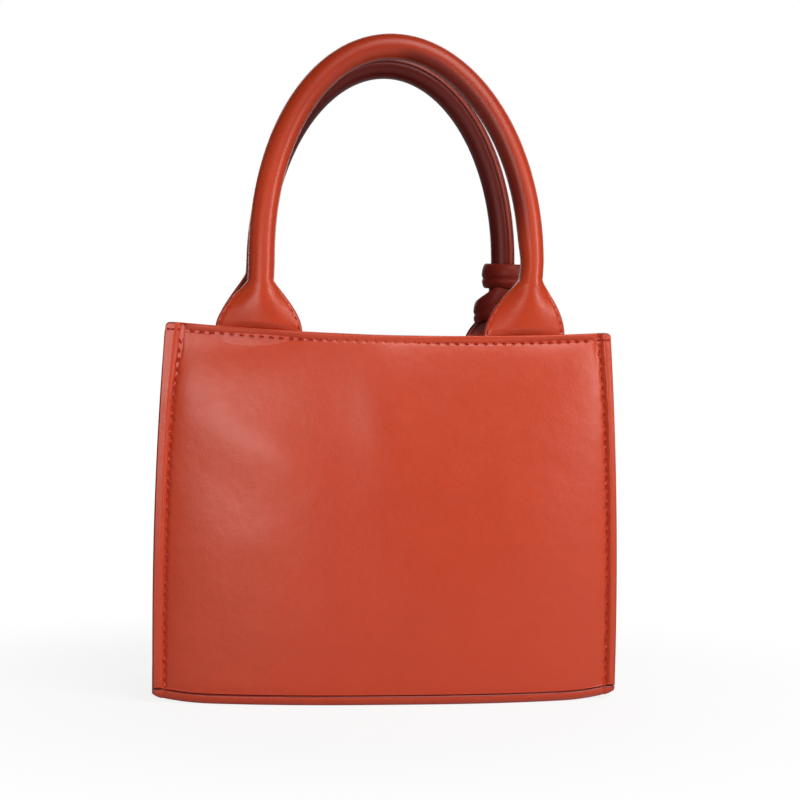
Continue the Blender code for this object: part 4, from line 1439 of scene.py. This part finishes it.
def make_lip_seam(word, side, end_word, end):
    """The same seam seen on the gusset's lip."""
    s = body_sizes()
    pitch = stitch_sizes().side_pitch
    z = (np.arange(2, int((s.corner_height - 0.004) / pitch)) + 0.5) * pitch
    here = points_of(
        end * (seam_half_width(z) + s.flange - LIP_SEAM_MARGIN),
        side * (corner_half_depth(z) - LIP_INSET - s.thin_leather / 2.0), z)
    sew(f"{word}_{end_word}_lip_thread", here, (0.0, 0.0, 1.0),
        (0.0, -side, 0.0), pitch * 0.7, 0.45)


def make_facing_seam(word, side):
    """Stitches along the facing's lower edge and along its top, seen inside the bag."""
    s = body_sizes()
    pitch = stitch_sizes().top_pitch
    half = rim_half_width() - wall_margin()

    def place(x, drop):
        across = x / half
        inset = facing_inset(across, drop) + s.thin_leather / 2.0
        return wall_points(side, across, rim_height(side, across) - drop, inset, wall_margin())

    rows = (("hem", stitch_sizes().top_margin), ("facing", s.facing - FACING_SEAM_MARGIN))
    for label, below in rows:
        here, along, outward = seam_frame(
            place, stitch_middles(half - 0.004, pitch), below, (0.0, -side, 0.0))
        sew(f"{word}_inside_{label}_thread", here, along, outward,
            pitch * 0.66, 0.55)


def make_tab_seams(handle):
    """Stitches along both edges of each tab, on its front and its back."""
    pitch = stitch_sizes().tab_pitch
    for end_word, leg in (("left", handle.left), ("right", handle.right)):
        heights = evenly(0.0, leg.flare * 0.78, 200)
        reach = leg_half_width(leg, heights) - stitch_sizes().tab_margin
        way = np.concatenate([[0.0], np.cumsum(np.hypot(np.diff(heights), np.diff(reach)))])
        stops = np.arange(0.5, way[-1] / pitch) * pitch
        h = np.interp(stops, way, heights)
        wide = np.interp(stops, way, reach)
        step_h, step_w = (
            np.interp(stops + 0.0003, way, part) - np.interp(stops - 0.0003, way, part)
            for part in (heights, reach))
        deep = edge_half(leg_half_width(leg, h)) * 0.9 + 0.0001
        rows = []
        for edge, face in ((-1.0, -1.0), (-1.0, 1.0), (1.0, -1.0), (1.0, 1.0)):
            x = leg_x(leg, h) + edge * wide
            up = h + rim_slope() * edge * leg.side * wide * (1.0 - h / leg.flare)
            here = to_bag(handle.side, x, face * deep, up)
            ahead = to_bag(handle.side, x + edge * step_w, face * deep, up + step_h)
            rows.append((here, ahead - here, np.broadcast_to([0.0, face, 0.0], here.shape)))
        piece = stitches(
            f"{handle.word}_{end_word}_tab_thread", *map(np.concatenate, zip(*rows)),
            pitch * 0.66, 1.0)
        fold_over(piece, handle.word)


# Operators


class TOTE_OT_outer(bpy.types.Operator):
    """Make the outer leathers: two panels, the base and two gussets."""
    bl_idname = "tote.outer"
    bl_label = "Outer leathers"

    def execute(self, context):
        for word, side in SIDES:
            make_panel(word, side)
        make_base()
        for word, end in ENDS:
            make_gusset(word, end)
        return {"FINISHED"}


class TOTE_OT_inside(bpy.types.Operator):
    """Make the facings, the lining and the tape in the rim."""
    bl_idname = "tote.inside"
    bl_label = "Facings and lining"

    def execute(self, context):
        for word, side in SIDES:
            make_wall_facing(word, side)
            make_wall_lining(word, side)
            make_rim_tape(word, side)
        for word, end in ENDS:
            make_side_inside(word, end)
        make_base_lining()
        return {"FINISHED"}


class TOTE_OT_handles(bpy.types.Operator):
    """Make both rolled handles with the cord inside them."""
    bl_idname = "tote.handles"
    bl_label = "Handles"

    def execute(self, context):
        for handle in both_handles():
            make_handle(handle)
            make_handle_cord(handle)
            make_tab_stiffener(handle, "left", handle.left)
            make_tab_stiffener(handle, "right", handle.right)
        return {"FINISHED"}


class TOTE_OT_strap(bpy.types.Operator):
    """Wind the strap round the rear handle's right leg."""
    bl_idname = "tote.strap"
    bl_label = "Wound strap"

    def execute(self, context):
        make_strap(both_handles()[1])
        return {"FINISHED"}


class TOTE_OT_seams(bpy.types.Operator):
    """Sew the rim, the side seams, the facings and the tabs."""
    bl_idname = "tote.seams"
    bl_label = "Seams"

    def execute(self, context):
        for word, side in SIDES:
            make_top_seam(word, side)
            make_facing_seam(word, side)
            for end_word, end in ENDS:
                make_side_seam(word, side, end_word, end)
                make_lip_seam(word, side, end_word, end)
        for handle in both_handles():
            make_tab_seams(handle)
        return {"FINISHED"}


class TOTE_OT_board(bpy.types.Operator):
    """Give the base board its finish."""
    bl_idname = "tote.board"
    bl_label = "Base board"

    def execute(self, context):
        frame["nodes"]["base_board"].material_slots[0].material = material_for("board")
        return {"FINISHED"}


class TOTE_OT_stage(bpy.types.Operator):
    """Set up the pale floor, the soft lamps and the camera."""
    bl_idname = "tote.stage"
    bl_label = "Stage"

    def execute(self, context):
        make_floor()
        make_lamps()
        make_world()
        make_camera()
        context.scene.view_settings.view_transform = "Standard"
        return {"FINISHED"}


def make_floor():
    """Pale floor that looks white to the camera where it is lit, and keeps the shadow.

    Away from the bag it fades into the white surroundings.
    """
    mesh = bpy.data.meshes.new("studio_floor")
    corners = [
        (x * FLOOR_REACH, y * FLOOR_REACH, 0.0) for x, y in ((-1, -1), (1, -1), (1, 1), (-1, 1))]
    mesh.from_pydata(corners, [], [(0, 1, 2, 3)])
    material, tree, shader = new_material("white_studio_paper")
    glow = add_node(tree, "ShaderNodeEmission", {"Color": WHITE, "Strength": 1.0})
    seen = add_node(tree, "ShaderNodeLightPath").outputs["Is Camera Ray"]
    # White to the camera, a mid grey to the light that it throws back at the bag
    feed(tree, shader, {
        "Base Color": mix_colours(tree, seen, (0.66, 0.66, 0.66, 1.0), (0.85, 0.85, 0.85, 1.0)),
        "Roughness": 0.9})
    away = add_node(tree, "ShaderNodeVectorMath", {0: piece_place(tree)}, operation="LENGTH")
    white = add_node(tree, "ShaderNodeMapRange", {
        "Value": away.outputs["Value"], "From Min": 0.12, "From Max": 0.32,
        "To Min": FLOOR_GLOW, "To Max": 1.0}, interpolation_type="SMOOTHSTEP")
    amount = add_node(
        tree, "ShaderNodeMath", {0: seen, 1: white.outputs["Result"]}, operation="MULTIPLY")
    mixed = add_node(tree, "ShaderNodeMixShader", {
        0: amount.outputs[0], 1: shader.outputs[0], 2: glow.outputs[0]})
    feed(tree, tree.nodes["Material Output"], {"Surface": mixed.outputs[0]})
    mesh.materials.append(material)
    add_object("studio_floor", mesh)


def add_lamp(name, azimuth, elevation, distance, size, power, tint=WHITE[:3]):
    """Square softbox in a direction round the bag, turned to face its middle.

    Azimuth 0 is straight in front and grows to the right.
    """
    a = math.radians(azimuth)
    e = math.radians(elevation)
    away = Vector((math.sin(a) * math.cos(e), -math.cos(a) * math.cos(e), math.sin(e)))
    lamp = bpy.data.lights.new(name, "AREA")
    lamp.shape = "RECTANGLE"
    lamp.size, lamp.size_y = size
    lamp.energy = power
    lamp.color = tint
    holder = add_object(name, lamp)
    holder.location = Vector((0.0, 0.0, 0.12)) + away * distance
    holder.rotation_euler = (-away).to_track_quat("-Z", "Y").to_euler()


def make_lamps():
    """Main soft light high on the right, small low ones left and right, a large one behind."""
    add_lamp("main_softbox", 27.0, 45.0, 1.1, (0.66, 0.60), 7.7, (1.0, 0.99, 0.97))
    add_lamp("left_softbox", -21.0, 10.0, 0.95, (0.44, 0.16), 2.2)
    add_lamp("right_softbox", 53.0, 17.0, 0.90, (0.13, 0.30), 2.0)
    add_lamp("side_fill", -80.0, 18.0, 1.20, (0.40, 0.50), 0.2)
    add_lamp("rear_fill", 170.0, 26.0, 1.9, (2.6, 1.5), 22.0)


def make_world():
    """Soft grey surroundings that the camera sees as white."""
    world = bpy.data.worlds.new("studio")
    bpy.context.scene.world = world
    world.use_nodes = True
    tree = world.node_tree
    tree.nodes.clear()
    seen = add_node(tree, "ShaderNodeLightPath").outputs["Is Camera Ray"]
    dim, white = (
        add_node(tree, "ShaderNodeBackground", {"Color": WHITE, "Strength": strength}).outputs[0]
        for strength in (0.04, 1.0))
    mixed = add_node(tree, "ShaderNodeMixShader", {0: seen, 1: dim, 2: white})
    add_node(tree, "ShaderNodeOutputWorld", {"Surface": mixed.outputs[0]})


def make_camera():
    """Level camera a little left of straight ahead, rolled slightly, as in the photograph."""
    camera = bpy.data.cameras.new("camera")
    camera.sensor_width = 36.0
    camera.lens = 36.0 * CAMERA_FOCUS_PIXELS / IMAGE_WIDTH
    camera.clip_start = 0.05
    camera.clip_end = 60.0
    holder = add_object("camera", camera)
    right = Vector((math.cos(CAMERA_AZIMUTH), math.sin(CAMERA_AZIMUTH), 0.0))
    back = Vector((math.sin(CAMERA_AZIMUTH), -math.cos(CAMERA_AZIMUTH), 0.0))
    up = Vector((0.0, 0.0, 1.0))
    rolled_right = right * math.cos(CAMERA_ROLL) + up * math.sin(CAMERA_ROLL)
    rolled_up = up * math.cos(CAMERA_ROLL) - right * math.sin(CAMERA_ROLL)
    turn = Matrix((rolled_right, rolled_up, back)).transposed().to_4x4()
    place = back * CAMERA_DISTANCE + right * CAMERA_ASIDE + up * CAMERA_HEIGHT
    holder.matrix_world = Matrix.Translation(place) @ turn
    bpy.context.scene.camera = holder


class TOTE_PT_panel(bpy.types.Panel):
    """Lists the steps that make the bag."""
    bl_idname = "TOTE_PT_panel"
    bl_label = "Tote bag"
    bl_space_type = "VIEW_3D"
    bl_region_type = "UI"
    bl_category = "Tote"

    def draw(self, context):
        for step in STEPS:
            self.layout.operator(step.bl_idname)


GROUPS = (
    ("tote_body", ToteBodySizes),
    ("tote_handles", ToteHandleSizes),
    ("tote_stitches", ToteStitchSizes),
    ("tote_colours", ToteColours),
)
STEPS = (
    TOTE_OT_outer, TOTE_OT_inside, TOTE_OT_handles, TOTE_OT_strap, TOTE_OT_seams,
    TOTE_OT_board, TOTE_OT_stage,
)


def register():
    for name, group in GROUPS:
        bpy.utils.register_class(group)
        setattr(bpy.types.Scene, name, bpy.props.PointerProperty(type=group))
    for step in STEPS:
        bpy.utils.register_class(step)
    bpy.utils.register_class(TOTE_PT_panel)


def unregister():
    bpy.utils.unregister_class(TOTE_PT_panel)
    for step in reversed(STEPS):
        bpy.utils.unregister_class(step)
    for name, group in reversed(GROUPS):
        delattr(bpy.types.Scene, name)
        bpy.utils.unregister_class(group)


def main():
    register()
    bpy.ops.tote.outer()
    bpy.ops.tote.inside()
    bpy.ops.tote.handles()
    bpy.ops.tote.strap()
    bpy.ops.tote.seams()
    bpy.ops.tote.board()
    bpy.ops.tote.stage()


if __name__ == "__main__":
    main()
